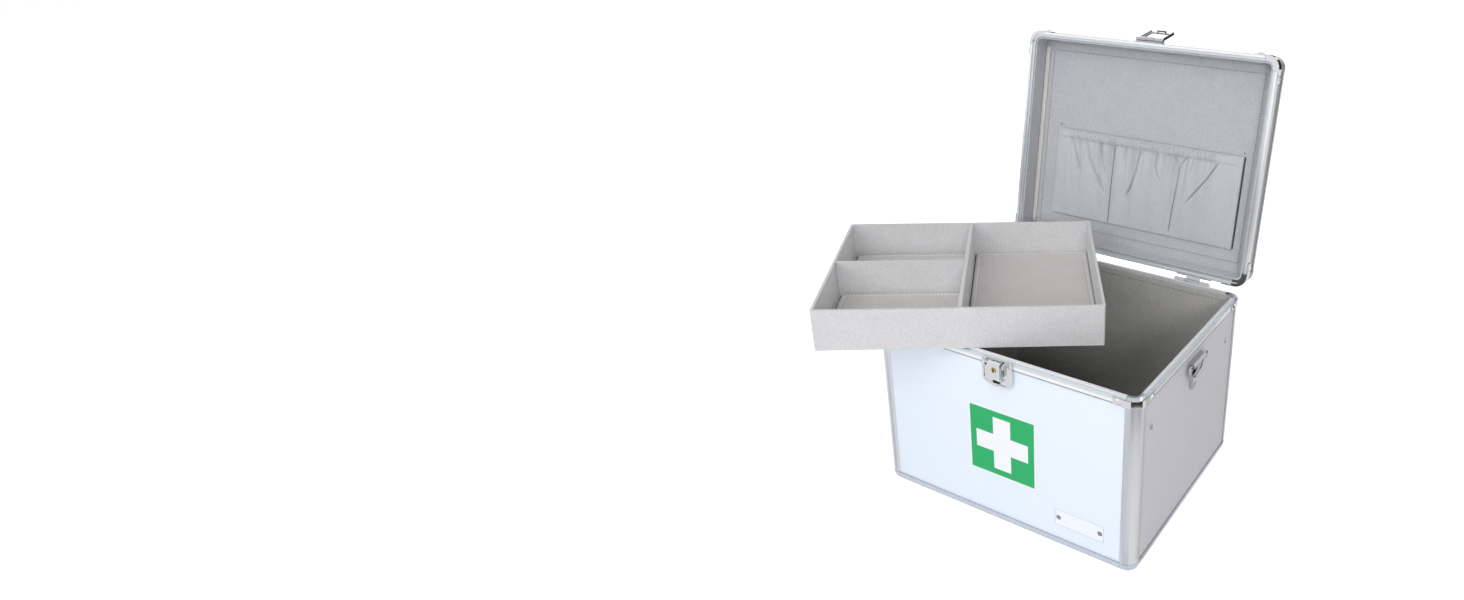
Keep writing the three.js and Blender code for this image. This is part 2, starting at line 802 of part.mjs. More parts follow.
// The torsion spring round the lever's pin, beside the cover.
function springCentreline() {
  const radius = LEVER.pin + FIT.gap + SPRING.wire / 2;
  const first = LEVER.width / 2 + FIT.gap + SPRING.wire / 2;
  const plateFront = LOCK.plate + 2 * FIT.gap + SPRING.wire / 2;
  const points = [];
  const steps = SPRING.turns * COUNT.springStepsPerTurn;
  const legAt = (x, from, to, share) => {
    const out = THREE.MathUtils.lerp(from, to, share);
    return new THREE.Vector3(x, -out, -LEVER.pivotDown - SPRING.leg * share);
  };
  for (const share of [...SPRING_LEG_SHARES].reverse()) {
    points.push(legAt(first, LEVER.pivotOut - radius, plateFront, share));
  }
  for (let i = 0; i <= steps; i += 1) {
    const turn = (i / steps) * (SPRING.turns * 2 - 1) * Math.PI;
    const x = first + (i / steps) * SPRING.turns * SPRING.pitch;
    const y = -LEVER.pivotOut + radius * Math.cos(turn);
    points.push(new THREE.Vector3(x, y, -LEVER.pivotDown + radius * Math.sin(turn)));
  }
  const last = first + SPRING.turns * SPRING.pitch;
  for (const share of SPRING_LEG_SHARES) {
    points.push(legAt(last, LEVER.pivotOut + radius, LEVER.pivotOut + radius + SPRING.legLean, share));
  }
  return points;
}

// The least distance between two stretches of a wire that aren't next to each other.
function leastGap(points, wire, apart) {
  let least = Infinity;
  for (let i = 0; i < points.length; i += 1) {
    for (let j = i + apart; j < points.length; j += 1) {
      least = Math.min(least, points[i].distanceTo(points[j]) - 2 * wire);
    }
  }
  return least;
}

function leverSpring() {
  const points = springCentreline();
  const curve = new THREE.CatmullRomCurve3(points);
  const steps = 2 * points.length;
  const least = leastGap(curve.getSpacedPoints(steps), SPRING.wire / 2, COUNT.springStepsPerTurn);
  console.log(`lock spring: least gap between its turns ${least.toFixed(2)}`);
  return solid(wireAlong(curve, SPRING.wire / 2, COUNT.springSides, steps));
}

function buildLock() {
  const group = new THREE.Group();
  group.position.set(LOCK.x, -CASE.depth / 2, CASE.bodyHeight);
  group.add(piece('lock_plate', lockPlate(), chrome()));
  group.add(piece('lock_lever', lockLever(), chrome()));
  group.add(piece('lock_tongue', lockTongue(), chrome()));
  group.add(piece('key_cylinder', keyCylinder(), brass()));
  group.add(piece('lock_spring', leverSpring(), springSteel()));
  return group;
}

// Strap rings, in a frame at a side's outer face and the rim's top, with -Y out

function ringBracket() {
  const half = BRACKET.width / 2;
  const tab = BRACKET.tabWidth / 2;
  const shape = new THREE.Shape();
  shape.moveTo(half, -BRACKET.top);
  shape.lineTo(-half, -BRACKET.top);
  shape.lineTo(-half, -BRACKET.shoulder);
  shape.quadraticCurveTo(-tab, -BRACKET.shoulder, -tab, -BRACKET.neck);
  shape.lineTo(-tab, -BRACKET.tabCentre);
  shape.absarc(0, -BRACKET.tabCentre, tab, Math.PI, 2 * Math.PI, false);
  shape.lineTo(tab, -BRACKET.neck);
  shape.quadraticCurveTo(tab, -BRACKET.shoulder, half, -BRACKET.shoulder);
  const back = FIT.gap - panelOuter;
  const front = back + BRACKET.plate;
  const axis = RING.out - panelOuter;
  const tube = drum('x', BRACKET.tube, -half, half, -axis, -RING.down);
  const wrap = wallBox(-half, half, front - BRACKET.plate / 2, axis, -RING.down, -BRACKET.top);
  const bore = drum('x', RING.wire + FIT.gap, -half - FIT.overrun, half + FIT.overrun, -axis, -RING.down);
  const rivet = rivetHead(0, front, -BRACKET.tabCentre, BRACKET.rivet);
  return join(wallPlate(shape, back, front), tube, wrap).subtract(bore).add(rivet);
}

// The bow of the ring: half an ellipse below its straight bar.
class RingBow extends THREE.Curve {
  getPoint(t, target = new THREE.Vector3()) {
    const turn = Math.PI * t;
    return target.set(RING.halfWidth * Math.cos(turn), 0, -RING.drop * Math.sin(turn));
  }
}

function carryRing() {
  const bow = solid(wireAlong(new RingBow(), RING.wire, COUNT.ringSides, COUNT.ringSteps));
  const bar = drum('x', RING.wire, -RING.halfWidth, RING.halfWidth, 0, 0, COUNT.smallDrum);
  const ends = [-1, 1].map((side) => {
    const ball = new THREE.SphereGeometry(RING.wire, COUNT.ringSides, COUNT.ringSides / 2);
    return solid(ball.translate(side * RING.halfWidth, 0, 0));
  });
  return join(bow, bar, ...ends);
}

function buildStrapRing(side) {
  const group = new THREE.Group();
  group.position.set(side.x, side.y, CASE.bodyHeight);
  group.rotation.z = (side.turn * Math.PI) / 2;
  group.add(piece(`ring_bracket_${side.name}`, ringBracket(), chrome()));
  const ring = piece(`carry_ring_${side.name}`, carryRing(), chrome());
  ring.position.set(0, panelOuter - RING.out, -RING.down);
  group.add(ring);
  return group;
}

// Hinges, in a frame at the back face and the rim's top, with -Y out

function hingeLeaf(isLid) {
  const half = HINGE.length / 2;
  const middle = HINGE.middle / 2;
  const back = FIT.gap;
  const front = back + HINGE.leaf;
  const pin = [HINGE.behind, -HINGE.below];
  const edge = isLid ? lidSeat - CASE.bodyHeight + HINGE.leaf : -HINGE.below;
  const far = isLid ? edge + HINGE.leafHeight : edge - HINGE.leafHeight;
  const plate = wallBox(-half, half, back, front, Math.min(edge, far), Math.max(edge, far));
  const armFrom = [(back + front) / 2, isLid ? edge + HINGE.arm / 2 : edge - HINGE.arm];
  const armTo = [pin[0], pin[1] + (isLid ? 1 : -1) * (HINGE.knuckle - HINGE.arm / 2)];
  const spans = isLid
    ? [[-middle + FIT.gap, middle - FIT.gap]]
    : [[-half, -middle], [middle, half]];
  const arms = spans.map(([x0, x1]) => strip(armFrom, armTo, HINGE.arm, x0, x1));
  const knuckles = spans.map(([x0, x1]) => drum('x', HINGE.knuckle, x0, x1, -pin[0], pin[1]));
  const leaf = join(plate, ...arms, ...knuckles);
  if (isLid) return leaf.subtract(drum('x', HINGE.pin + FIT.gap, -half, half, -pin[0], pin[1]));
  return leaf.add(drum('x', HINGE.pin, -half, half, -pin[0], pin[1]));
}

function buildHingeLeaves(isLid) {
  const group = new THREE.Group();
  for (const [name, side] of [['left', -1], ['right', 1]]) {
    const label = isLid ? 'lid_hinge_leaf' : 'body_hinge_leaf';
    const leaf = piece(`${label}_${name}`, hingeLeaf(isLid), chrome());
    leaf.position.set(side * (CASE.width / 2 - HINGE.fromSide), CASE.depth / 2, CASE.bodyHeight);
    leaf.rotation.z = Math.PI;
    group.add(leaf);
  }
  return group;
}

// Hasp, in a frame at the lid's front face and its rim, with -Y out

function haspPlate() {
  const height = HASP.top - HASP.bottom;
  const shape = roundedRect(HASP.width, height, HASP.cornerRadius, HASP.bottom + height / 2);
  const half = HASP.width / 2;
  const middle = HASP.middle / 2;
  const plate = wallPlate(shape, FIT.gap, FIT.gap + HASP.plate);
  const rollTop = HASP.pinUp + HASP.knuckle;
  const knuckles = [[-half, -middle], [middle, half]].map(([x0, x1]) => {
    const roll = wallBox(x0, x1, FIT.gap + HASP.plate / 2, haspPinOut, rollTop - HASP.plate, rollTop);
    return roll.add(drum('x', HASP.knuckle, x0, x1, -haspPinOut, HASP.pinUp));
  });
  const pin = drum('x', HASP.pin, -half, half, -haspPinOut, HASP.pinUp, COUNT.smallDrum);
  return join(plate, ...knuckles, pin);
}

// The swinging frame that passes over the lock, hanging down from its pin at the origin.
function haspFrame() {
  const half = FRAME.width / 2;
  const inside = FRAME.inside / 2;
  const back = FRAME.out;
  const front = back + FRAME.sheet;
  const low = back - FRAME.flange;
  const arm = new THREE.Shape();
  arm.moveTo(-inside, -FRAME.start);
  arm.lineTo(-half, -FRAME.start);
  arm.lineTo(-half, -FRAME.end + FRAME.endRadius);
  arm.quadraticCurveTo(-half, -FRAME.end, -half + FRAME.endRadius, -FRAME.end);
  arm.lineTo(-inside, -FRAME.end);
  const leftArm = wallPlate(arm, back, front);
  const mirrored = new THREE.Shape(arm.getPoints(COUNT.arc).map((p) => new THREE.Vector2(-p.x, p.y)).reverse());
  const rightArm = wallPlate(mirrored, back, front);
  const flangeTop = -FRAME.barTop;
  const flangeLow = -FRAME.end + FRAME.endRadius;
  const flanges = [-1, 1].map((side) => {
    const x0 = side > 0 ? half - FRAME.sheet : -half;
    return wallBox(x0, x0 + FRAME.sheet, low, front, flangeLow, flangeTop);
  });
  const bars = [
    wallBox(-half, half, back, front, -FRAME.barTop - FRAME.bar, -FRAME.barTop),
    wallBox(-inside - FRAME.sheet, inside + FRAME.sheet, low, front, -FRAME.barTop - FRAME.sheet, -FRAME.barTop),
    wallBox(-half, half, back, front, -FRAME.lowerBar - FRAME.lowerBarHeight, -FRAME.lowerBar),
  ];
  const neckHalf = HASP.middle / 2 - FIT.gap;
  const neckEnd = [(back + front) / 2, -FRAME.barTop - FRAME.bar / 2];
  const neck = strip([0, 0], neckEnd, FRAME.sheet, -neckHalf, neckHalf);
  const curl = drum('x', HASP.knuckle, -neckHalf, neckHalf, 0, 0);
  const bore = drum('x', HASP.pin + FIT.gap, -half, half, 0, 0, COUNT.smallDrum);
  const sides = join(leftArm, rightArm, ...flanges, ...bars, staple(back));
  return join(neck, curl).add(sides).subtract(bore);
}

// The striker hoop on the frame's lower bar.
function staple(back) {
  const half = HOOP.width / 2;
  const centre = -FRAME.lowerBar - FRAME.lowerBarHeight / 2;
  const z0 = centre - HOOP.wire / 2;
  const z1 = centre + HOOP.wire / 2;
  const reach = back - HOOP.reach;
  return join(
    wallBox(-half, -half + HOOP.wire, reach, back + FRAME.sheet / 2, z0, z1),
    wallBox(half - HOOP.wire, half, reach, back + FRAME.sheet / 2, z0, z1),
    wallBox(-half, half, reach, reach + HOOP.wire, z0, z1),
  );
}

function buildHasp() {
  const group = new THREE.Group();
  group.position.set(LOCK.x, -CASE.depth / 2, lidSeat);
  group.add(piece('hasp_plate', haspPlate(), chrome()));
  const frame = piece('hasp_frame', haspFrame(), chrome());
  frame.position.set(0, -haspPinOut, HASP.pinUp);
  frame.rotation.x = -THREE.MathUtils.degToRad(HASP.foldDegrees);
  group.add(frame);
  return group;
}

// Carrying handle on the lid, in a frame at its pivot with the bow along +Y

function handleBracket(side) {
  const eye = HANDLE.spread / 2;
  const inner = eye + HANDLE.eyeWidth / 2 + FIT.gap;
  const floor = -HANDLE.pivotUp + FIT.gap;
  const span = (a, b) => (side > 0 ? [a, b] : [-b, -a]);
  const [baseLeft, baseRight] = span(eye - HANDLE.eyeWidth, inner + HANDLE.earWidth);
  const [earLeft, earRight] = span(inner, inner + HANDLE.earWidth);
  const [pinLeft, pinRight] = span(eye - HANDLE.eyeWidth, inner + HANDLE.earWidth / 2);
  const length = HANDLE.baseLength / 2;
  const base = box(baseLeft, baseRight, -length, length, floor, floor + HANDLE.base);
  const ear = box(earLeft, earRight, -HANDLE.eye, HANDLE.eye, floor + HANDLE.base / 2, 0);
  const top = drum('x', HANDLE.eye, earLeft, earRight, 0, 0);
  const pin = drum('x', HANDLE.pin, pinLeft, pinRight, 0, 0, COUNT.smallDrum);
  return join(base, ear, top, pin);
}

// The bow's line from one eye round the grip to the other.
function handlePath() {
  const x = HANDLE.spread / 2;
  const path = new THREE.CurvePath();
  const line = (a, b) => path.add(new THREE.LineCurve3(new THREE.Vector3(...a), new THREE.Vector3(...b)));
  const bendAt = (a, b, c) => {
    const points = [a, b, c].map((p) => new THREE.Vector3(...p));
    path.add(new THREE.QuadraticBezierCurve3(...points));
  };
  const inner = HANDLE.reach - HANDLE.bend;
  line([-x, 0, 0], [-x, inner, 0]);
  bendAt([-x, inner, 0], [-x, HANDLE.reach, 0], [-x + HANDLE.bend, HANDLE.reach, 0]);
  line([-x + HANDLE.bend, HANDLE.reach, 0], [x - HANDLE.bend, HANDLE.reach, 0]);
  bendAt([x - HANDLE.bend, HANDLE.reach, 0], [x, HANDLE.reach, 0], [x, inner, 0]);
  line([x, inner, 0], [x, 0, 0]);
  return path;
}

function handleBow() {
  const section = roundedRect(HANDLE.barHeight, HANDLE.barWidth, HANDLE.barHeight / 2 - FIT.gap);
  const bar = new THREE.ExtrudeGeometry(section, {
    steps: COUNT.handleSteps,
    extrudePath: handlePath(),
    curveSegments: COUNT.handleArc,
    bevelEnabled: false,
  });
  const grip = new THREE.Shape();
  grip.absellipse(0, 0, HANDLE.gripWidth / 2, HANDLE.gripHeight / 2, 0, 2 * Math.PI, false, 0);
  const half = HANDLE.gripLength / 2;
  const sleeve = moved(prism(grip, -half, half), new THREE.Matrix4().makeTranslation(0, HANDLE.reach, 0));
  const eyes = [-1, 1].map((side) => {
    const x = (side * HANDLE.spread) / 2;
    return drum('x', HANDLE.eye, x - HANDLE.eyeWidth / 2, x + HANDLE.eyeWidth / 2, 0, 0);
  });
  const bore = drum('x', HANDLE.pin + FIT.gap, -HANDLE.spread, HANDLE.spread, 0, 0, COUNT.smallDrum);
  return join(solid(bar), sleeve, ...eyes).subtract(bore);
}

function buildHandle() {
  const group = new THREE.Group();
  group.position.set(0, 0, lidTop + HANDLE.pivotUp);
  group.add(piece('handle_bracket_left', handleBracket(-1), chrome()));
  group.add(piece('handle_bracket_right', handleBracket(1), chrome()));
  const bow = piece('handle_bow', handleBow(), blackGrip());
  bow.rotation.x = THREE.MathUtils.degToRad(HINGE.openDegrees) - Math.PI / 2;
  group.add(bow);
  return group;
}

// Lid, built upside down in a frame at its outer face

// How far the pocket's cloth stands off at a share of its width and of its height.
function pocketRise(u, v) {
  const index = POCKET_SEAM_SHARES.findIndex((share) => u < share);
  const right = index < 0 ? POCKET_SEAM_SHARES.length - 1 : index;
  const from = POCKET_SEAM_SHARES[right - 1];
  const within = (u - from) / (POCKET_SEAM_SHARES[right] - from);
  const across = Math.sin(Math.PI * within) ** CLOTH.archPower;
  const bandShare = POCKET.band / (POCKET.mouthEdge - POCKET.hingeEdge);
  const up = Math.sin((Math.PI / 2) * Math.min(1, v / (1 - bandShare))) ** CLOTH.bellyPower;
  const drawnIn = v > 1 - bandShare ? 1 - (v - 1 + bandShare) / bandShare : 1;
  const folds = Math.cos(2 * Math.PI * COUNT.pocketFolds * within) * v * drawnIn;
  const elastic = v > 1 - bandShare ? POCKET.bandRise * across : 0;
  const bulge = POCKET.bulge * across * up * drawnIn;
  return POCKET.seam + Math.max(0, bulge + POCKET.fold * folds * across) + elastic * (1 - drawnIn);
}

function lidPocket() {
  const height = POCKET.mouthEdge - POCKET.hingeEdge;
  const hingeSide = -CASE.depth / 2 + POCKET.hingeEdge;
  const floor = linerInner;
  return quilt(COUNT.pocketColumns, COUNT.pocketRows, (u, v) => {
    const high = floor + pocketRise(u, v);
    const x = POCKET.x + (u - 1 / 2) * POCKET.width;
    return { x, y: hingeSide + v * height, low: high - POCKET.cloth, high };
  });
}

function buildLidShell() {
  const group = new THREE.Group();
  group.position.set(0, 0, lidTop);
  group.rotation.x = Math.PI;
  const height = CASE.lidHeight;
  const capTop = height - RIM.leg - FIT.gap;
  const wallTop = height - rimRecess - RIM.deck - FIT.gap;
  placeCorners(group, 'lid_corner', (name) => {
    return cornerToOrigin(piece(name, cornerCap(capTop), satinAluminium()));
  }, true);
  placeCorners(group, 'lid_rim_corner', (name) => {
    return cornerToOrigin(piece(name, rimCorner(height, true), chrome()));
  }, true);
  group.add(piece('lid_top_panel', flatPanel(), whiteLaminate()));
  group.add(piece('lid_side_band', band(panelOuter, panelInner, bottomEdge, wallTop), greyLaminate()));
  group.add(piece('lid_trim', edgeTrim(), satinAluminium()));
  group.add(piece('lid_rim', rimFrame(height, true), satinAluminium()));
  group.add(piece('lid_liner', lining(height - LINER.lidBelowRim), greyFelt()));
  group.add(piece('lid_pocket', lidPocket(), pocketCloth()));
  return group;
}

// The lid stands open on its hinge pin.
function buildLid() {
  const pin = new THREE.Vector3(0, CASE.depth / 2 + HINGE.behind, CASE.bodyHeight - HINGE.below);
  const lid = new THREE.Group();
  lid.position.copy(pin);
  lid.rotation.x = -THREE.MathUtils.degToRad(HINGE.openDegrees);
  const closed = new THREE.Group();
  closed.position.copy(pin).negate();
  closed.add(buildLidShell(), buildHingeLeaves(true), buildHasp(), buildHandle());
  lid.add(closed);
  return lid;
}

// Tray, in a frame at the centre of its underside

function trayBox() {
  const outer = slab(roundedRect(TRAY.width, TRAY.depth, TRAY.cornerRadius), 0, TRAY.height);
  const inside = roundedRect(TRAY.width - 2 * TRAY.wall, TRAY.depth - 2 * TRAY.wall, 0);
  return outer.subtract(slab(inside, TRAY.floor, TRAY.height + FIT.overrun));
}

function longDivider() {
  const half = TRAY.depth / 2 - TRAY.wall - FIT.gap;
  const x = TRAY.dividerX;
  const top = TRAY.height - TRAY.dividerBelow;
  return box(x - TRAY.divider / 2, x + TRAY.divider / 2, -half, half, TRAY.floor + FIT.gap, top);
}

function crossDivider() {
  const from = -TRAY.width / 2 + TRAY.wall + FIT.gap;
  const to = TRAY.dividerX - TRAY.divider / 2 - FIT.gap;
  const y = TRAY.dividerY;
  const top = TRAY.height - TRAY.dividerBelow;
  return box(from, to, y - TRAY.divider / 2, y + TRAY.divider / 2, TRAY.floor + FIT.gap, top);
}

// A thin quilted pad that fills a compartment's floor, with a sewn channel near its edge.
function trayPad(x0, x1, y0, y1) {
  const base = TRAY.floor + FIT.gap;
  return quilt(COUNT.padColumns, COUNT.padRows, (u, v) => {
    const ease = (share) => (1 - Math.cos(Math.PI * share)) / 2;
    const x = THREE.MathUtils.lerp(x0 + PAD.wideSide, x1 - PAD.side, ease(u));
    const y = THREE.MathUtils.lerp(y0 + PAD.side, y1 - PAD.side, ease(v));
    const edge = Math.min(x - x0 - PAD.wideSide, x1 - PAD.side - x, y - y0 - PAD.side, y1 - PAD.side - y);
    const seam = PAD.seamDepth * Math.exp(-(((edge - PAD.seamInset) / PAD.seamWidth) ** 2));
    const crown = PAD.crown * Math.sin(Math.PI * u) * Math.sin(Math.PI * v);
    const inward = Math.min(1, edge / PAD.seamInset);
    const rise = PAD.thickness * THREE.MathUtils.lerp(CLOTH.padEdgeShare, 1, inward);
    return { x, y, low: base, high: base + rise + crown - seam * inward };
  });
}

function buildTray() {
  const group = new THREE.Group();
  group.position.set(TRAY.x, TRAY.y, CASE.bodyHeight + FIT.gap);
  group.rotation.z = THREE.MathUtils.degToRad(TRAY.yawDegrees);
  const left = -TRAY.width / 2 + TRAY.wall;
  const right = TRAY.width / 2 - TRAY.wall;
  const front = -TRAY.depth / 2 + TRAY.wall;
  const back = TRAY.depth / 2 - TRAY.wall;
  const half = TRAY.divider / 2;
  const middle = TRAY.dividerX;
  const cross = TRAY.dividerY;
  group.add(piece('tray_box', trayBox(), trayFelt()));
  group.add(piece('tray_divider_long', longDivider(), trayFelt()));
  group.add(piece('tray_divider_cross', crossDivider(), trayFelt()));
  group.add(piece('tray_pad_front_left', trayPad(left, middle - half, front, cross - half), trayFelt()));
  group.add(piece('tray_pad_back_left', trayPad(left, middle - half, cross + half, back), trayFelt()));
  group.add(piece('tray_pad_right', trayPad(middle + half, right, front, back), trayFelt()));
  return group;
}

// The whole case

function buildCase() {
  const root = new THREE.Group();
  root.add(buildBodyShell(), buildLock(), buildHingeLeaves(false), buildLid(), buildTray());
  for (const side of SIDES.filter(({ name }) => name === 'left' || name === 'right')) {
    root.add(buildStrapRing(side));
  }
  return root;
}

export default buildCase();
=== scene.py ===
"""Dresses a lockable medicine case and sets up its picture.

The case stands open on a pale floor, with its tray lying askew across the rim. Sizes are in
metres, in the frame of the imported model: X to the right, Y to the back and Z up.
"""

import json
import logging
import math
import random
from dataclasses import dataclass, replace
from enum import Enum, auto
from functools import partial
from typing import Callable, ClassVar, Iterable, Sequence

import bmesh
import bpy
from mathutils import Matrix, Vector


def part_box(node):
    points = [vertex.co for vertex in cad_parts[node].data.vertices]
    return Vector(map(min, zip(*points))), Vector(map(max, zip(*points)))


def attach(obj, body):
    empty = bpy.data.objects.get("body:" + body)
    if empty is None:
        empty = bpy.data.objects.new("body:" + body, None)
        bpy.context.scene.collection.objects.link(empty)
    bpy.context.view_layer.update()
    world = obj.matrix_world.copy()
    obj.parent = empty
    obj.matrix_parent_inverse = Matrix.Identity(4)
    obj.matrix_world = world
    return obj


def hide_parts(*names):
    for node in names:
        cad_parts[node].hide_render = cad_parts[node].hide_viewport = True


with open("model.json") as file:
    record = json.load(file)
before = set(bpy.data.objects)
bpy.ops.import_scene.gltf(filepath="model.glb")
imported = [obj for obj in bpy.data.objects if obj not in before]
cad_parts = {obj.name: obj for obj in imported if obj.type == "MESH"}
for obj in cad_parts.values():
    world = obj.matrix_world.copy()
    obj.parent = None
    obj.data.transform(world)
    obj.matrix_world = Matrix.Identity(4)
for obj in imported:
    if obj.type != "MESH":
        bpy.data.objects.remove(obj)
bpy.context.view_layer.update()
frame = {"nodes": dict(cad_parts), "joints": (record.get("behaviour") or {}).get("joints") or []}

log = logging.getLogger("medicine_case")

Colour = tuple[float, float, float, float]
Point2 = tuple[float, float]
Point3 = tuple[float, float, float]
Span = tuple[float, float]
Placer = Callable[[float, float, float], Vector]
Ring = Sequence[bmesh.types.BMVert]

BLACK: Colour = (0.0, 0.0, 0.0, 1.0)
WHITE: Colour = (1.0, 1.0, 1.0, 1.0)


def linear(level: int) -> float:
    """Turns one part of a colour as a screen shows it into its linear share.

    Args:
        level: The part, from 0 to 255.

    Returns:
        The share, from 0 to 1.
    """
    toe_end, toe_slope, offset, power = 0.04045, 12.92, 0.055, 2.4
    share = level / 255
    return share / toe_slope if share <= toe_end else ((share + offset) / (1 + offset)) ** power


def srgb(red: int, green: int, blue: int) -> Colour:
    """Turns a colour as a screen shows it, in parts up to 255, into a shader's linear colour."""
    return (linear(red), linear(green), linear(blue), 1.0)


def frame_joint(name: str) -> dict:
    """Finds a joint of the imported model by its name."""
    return next(joint for joint in frame["joints"] if joint["name"] == name)


def lid_opening() -> float:
    """Gives the angle at which the lid stands open, in radians."""
    return math.radians(frame_joint("lid_hinge")["range_deg"][1])


def lid_turn() -> Matrix:
    """Gives the turn about the hinge pin that takes the closed lid to the open one.

    Returns:
        The turn.
    """
    pin = Vector(frame_joint("lid_hinge")["pos_m"])
    return (
        Matrix.Translation(pin)
        @ Matrix.Rotation(-lid_opening(), 4, "X")
        @ Matrix.Translation(-pin)
    )


class Surface(Enum):
    """The finishes of the case, by where they are seen."""

    FRONT_LAMINATE = auto()
    SIDE_LAMINATE = auto()
    LID_LAMINATE_SHADED = auto()
    POST_METAL = auto()
    TRIM_METAL = auto()
    RIM_METAL = auto()
    LID_RIM_METAL = auto()
    LID_METAL = auto()
    CAP_METAL = auto()
    CHROME = auto()
    FITTING_CHROME_SHADED = auto()
    SPRING_STEEL = auto()
    BRASS = auto()
    BODY_FELT = auto()
    LID_FELT_COOL_LIT = auto()
    TRAY_FELT = auto()
    PAD_FELT = auto()
    PIPING_FELT = auto()
    POCKET_CLOTH = auto()
    THREAD = auto()
    HEM_THREAD_AND_SHADE = auto()
    LID_THREAD_AND_SHADE = auto()
    SIGN_GREEN = auto()
    SIGN_WHITE = auto()
    BARE_PLATE = auto()
    GRIP = auto()
    DARK_THREAD_AND_SHADE = auto()
    PLATE_LINE = auto()
    SLOT = auto()


class Graph:
    """A thin wrapper round a node tree, so that the building code stays short."""

    def __init__(self, tree: bpy.types.NodeTree) -> None:
        """Takes the node tree that it adds to."""
        self.tree = tree

    def add(self, kind: str, **settings: object) -> bpy.types.Node:
        """Adds a node.

        Args:
            kind: The node's type name.
            settings: The node's own properties, by name.

        Returns:
            The new node.
        """
        node = self.tree.nodes.new(kind)
        for name, value in settings.items():
            setattr(node, name, value)
        return node

    def feed(self, socket: bpy.types.NodeSocket, value: object) -> None:
        """Links another socket into this one, or sets its constant.

        Args:
            socket: The input to feed.
            value: A socket to link, or a constant.
        """
        if isinstance(value, bpy.types.NodeSocket):
            self.tree.links.new(value, socket)
        else:
            socket.default_value = value

    def feed_all(self, inputs: bpy.types.NodeInputs, values: dict[str | int, object]) -> None:
        """Feeds several inputs, each by its number or by its name with _ for a space."""
        for key, value in values.items():
            self.feed(inputs[key.replace("_", " ") if isinstance(key, str) else key], value)

    def put(
        self, kind: str, values: dict[str | int, object], **settings: object
    ) -> bpy.types.NodeOutputs:
        """Adds a node and feeds it.

        Args:
            kind: The node's type name.
            values: Values or sockets for its inputs, by number or by name.
            settings: The node's own properties, by name.

        Returns:
            The node's outputs.
        """
        node = self.add(kind, **settings)
        self.feed_all(node.inputs, values)
        return node.outputs

    def parts(self, vector: object) -> bpy.types.NodeOutputs:
        """Takes a vector apart, into X, Y and Z."""
        return self.put("ShaderNodeSeparateXYZ", {0: vector})

    def math(self, operation: str, first: object, second: object = 0.0) -> bpy.types.NodeSocket:
        """Gives the result of an operation on two values or sockets."""
        return self.put("ShaderNodeMath", {0: first, 1: second}, operation=operation)[0]

    def noise(self, vector: object, scale: object, detail: float = 2.0) -> bpy.types.NodeSocket:
        """Gives a noise of about 0.5, with its scale per metre and its number of finer layers."""
        values = {"Vector": vector, "Scale": scale, "Detail": detail}
        return self.put("ShaderNodeTexNoise", values)[0]

    def scaled(self, vector: object, factors: object) -> bpy.types.NodeSocket:
        """Multiplies a vector by another, part by part."""
        return self.put("ShaderNodeVectorMath", {0: vector, 1: factors}, operation="MULTIPLY")[0]

    def turned(self, vector: object, centre: Sequence[float], angle: float) -> bpy.types.NodeSocket:
        """Turns a vector about an axis along X, by its centre and its angle in radians."""
        values = {"Vector": vector, "Center": centre, "Angle": angle}
        return self.put("ShaderNodeVectorRotate", values, rotation_type="X_AXIS")[0]

    def between(self, value: object, low: float, high: float) -> bpy.types.NodeSocket:
        """Gives a share that rises from 0 at the low value to 1 at the high one."""
        values = {"Value": value, "From Min": low, "From Max": high}
        return self.put("ShaderNodeMapRange", values, interpolation_type="SMOOTHSTEP")[0]

    def blend(self, factor: object, first: object, second: object) -> bpy.types.NodeSocket:
        """Mixes two colours.

        Args:
            factor: The share of the second colour.
            first: The first colour.
            second: The second colour.

        Returns:
            The mixed colour.
        """
        node = self.add("ShaderNodeMix", data_type="RGBA")
        colours = [socket for socket in node.inputs if socket.type == "RGBA"]
        for socket, value in zip((node.inputs["Factor"], *colours), (factor, first, second)):
            self.feed(socket, value)
        return next(socket for socket in node.outputs if socket.type == "RGBA")


class MaterialGraph(Graph):
    """The graph of one new material, with its shader and the surface's own coordinates."""

    def __init__(self, name: str) -> None:
        """Makes the material.

        Args:
            name: The material's name.
        """
        self.material = bpy.data.materials.new(name)
        self.material.use_nodes = True
        super().__init__(self.material.node_tree)
        self.shader = self.tree.nodes["Principled BSDF"]
        self.where = self.add("ShaderNodeTexCoord").outputs["Object"]

    def shade(self, **values: object) -> None:
        """Feeds the shader's inputs, each by its name with _ for a space."""
        self.feed_all(self.shader.inputs, values)

    def raise_surface(self, height: object, depth: float) -> None:
        """Adds a bump, over the one that the shader has already.

        Args:
            height: The height, from 0 to 1.
            depth: How deep the bump is, in metres.
        """
        bump = self.add("ShaderNodeBump")
        self.feed_all(bump.inputs, {"Distance": depth, "Height": height})
        for link in self.shader.inputs["Normal"].links:
            self.feed(bump.inputs["Normal"], link.from_socket)
        self.shade(Normal=bump.outputs[0])

    def closed_place(self, opening: float) -> bpy.types.NodeSocket:
        """Gives the surface's coordinates as they are on the closed case.

        Args:
            opening: How far the surface is turned open about the hinge, in radians.

        Returns:
            The coordinates.
        """
        if not opening:
            return self.where
        return self.turned(self.where, frame_joint("lid_hinge")["pos_m"], opening)


@dataclass(frozen=True)
class GroupSocket:
    """One socket of a node group."""

    name: str
    kind: str
    default: object = None


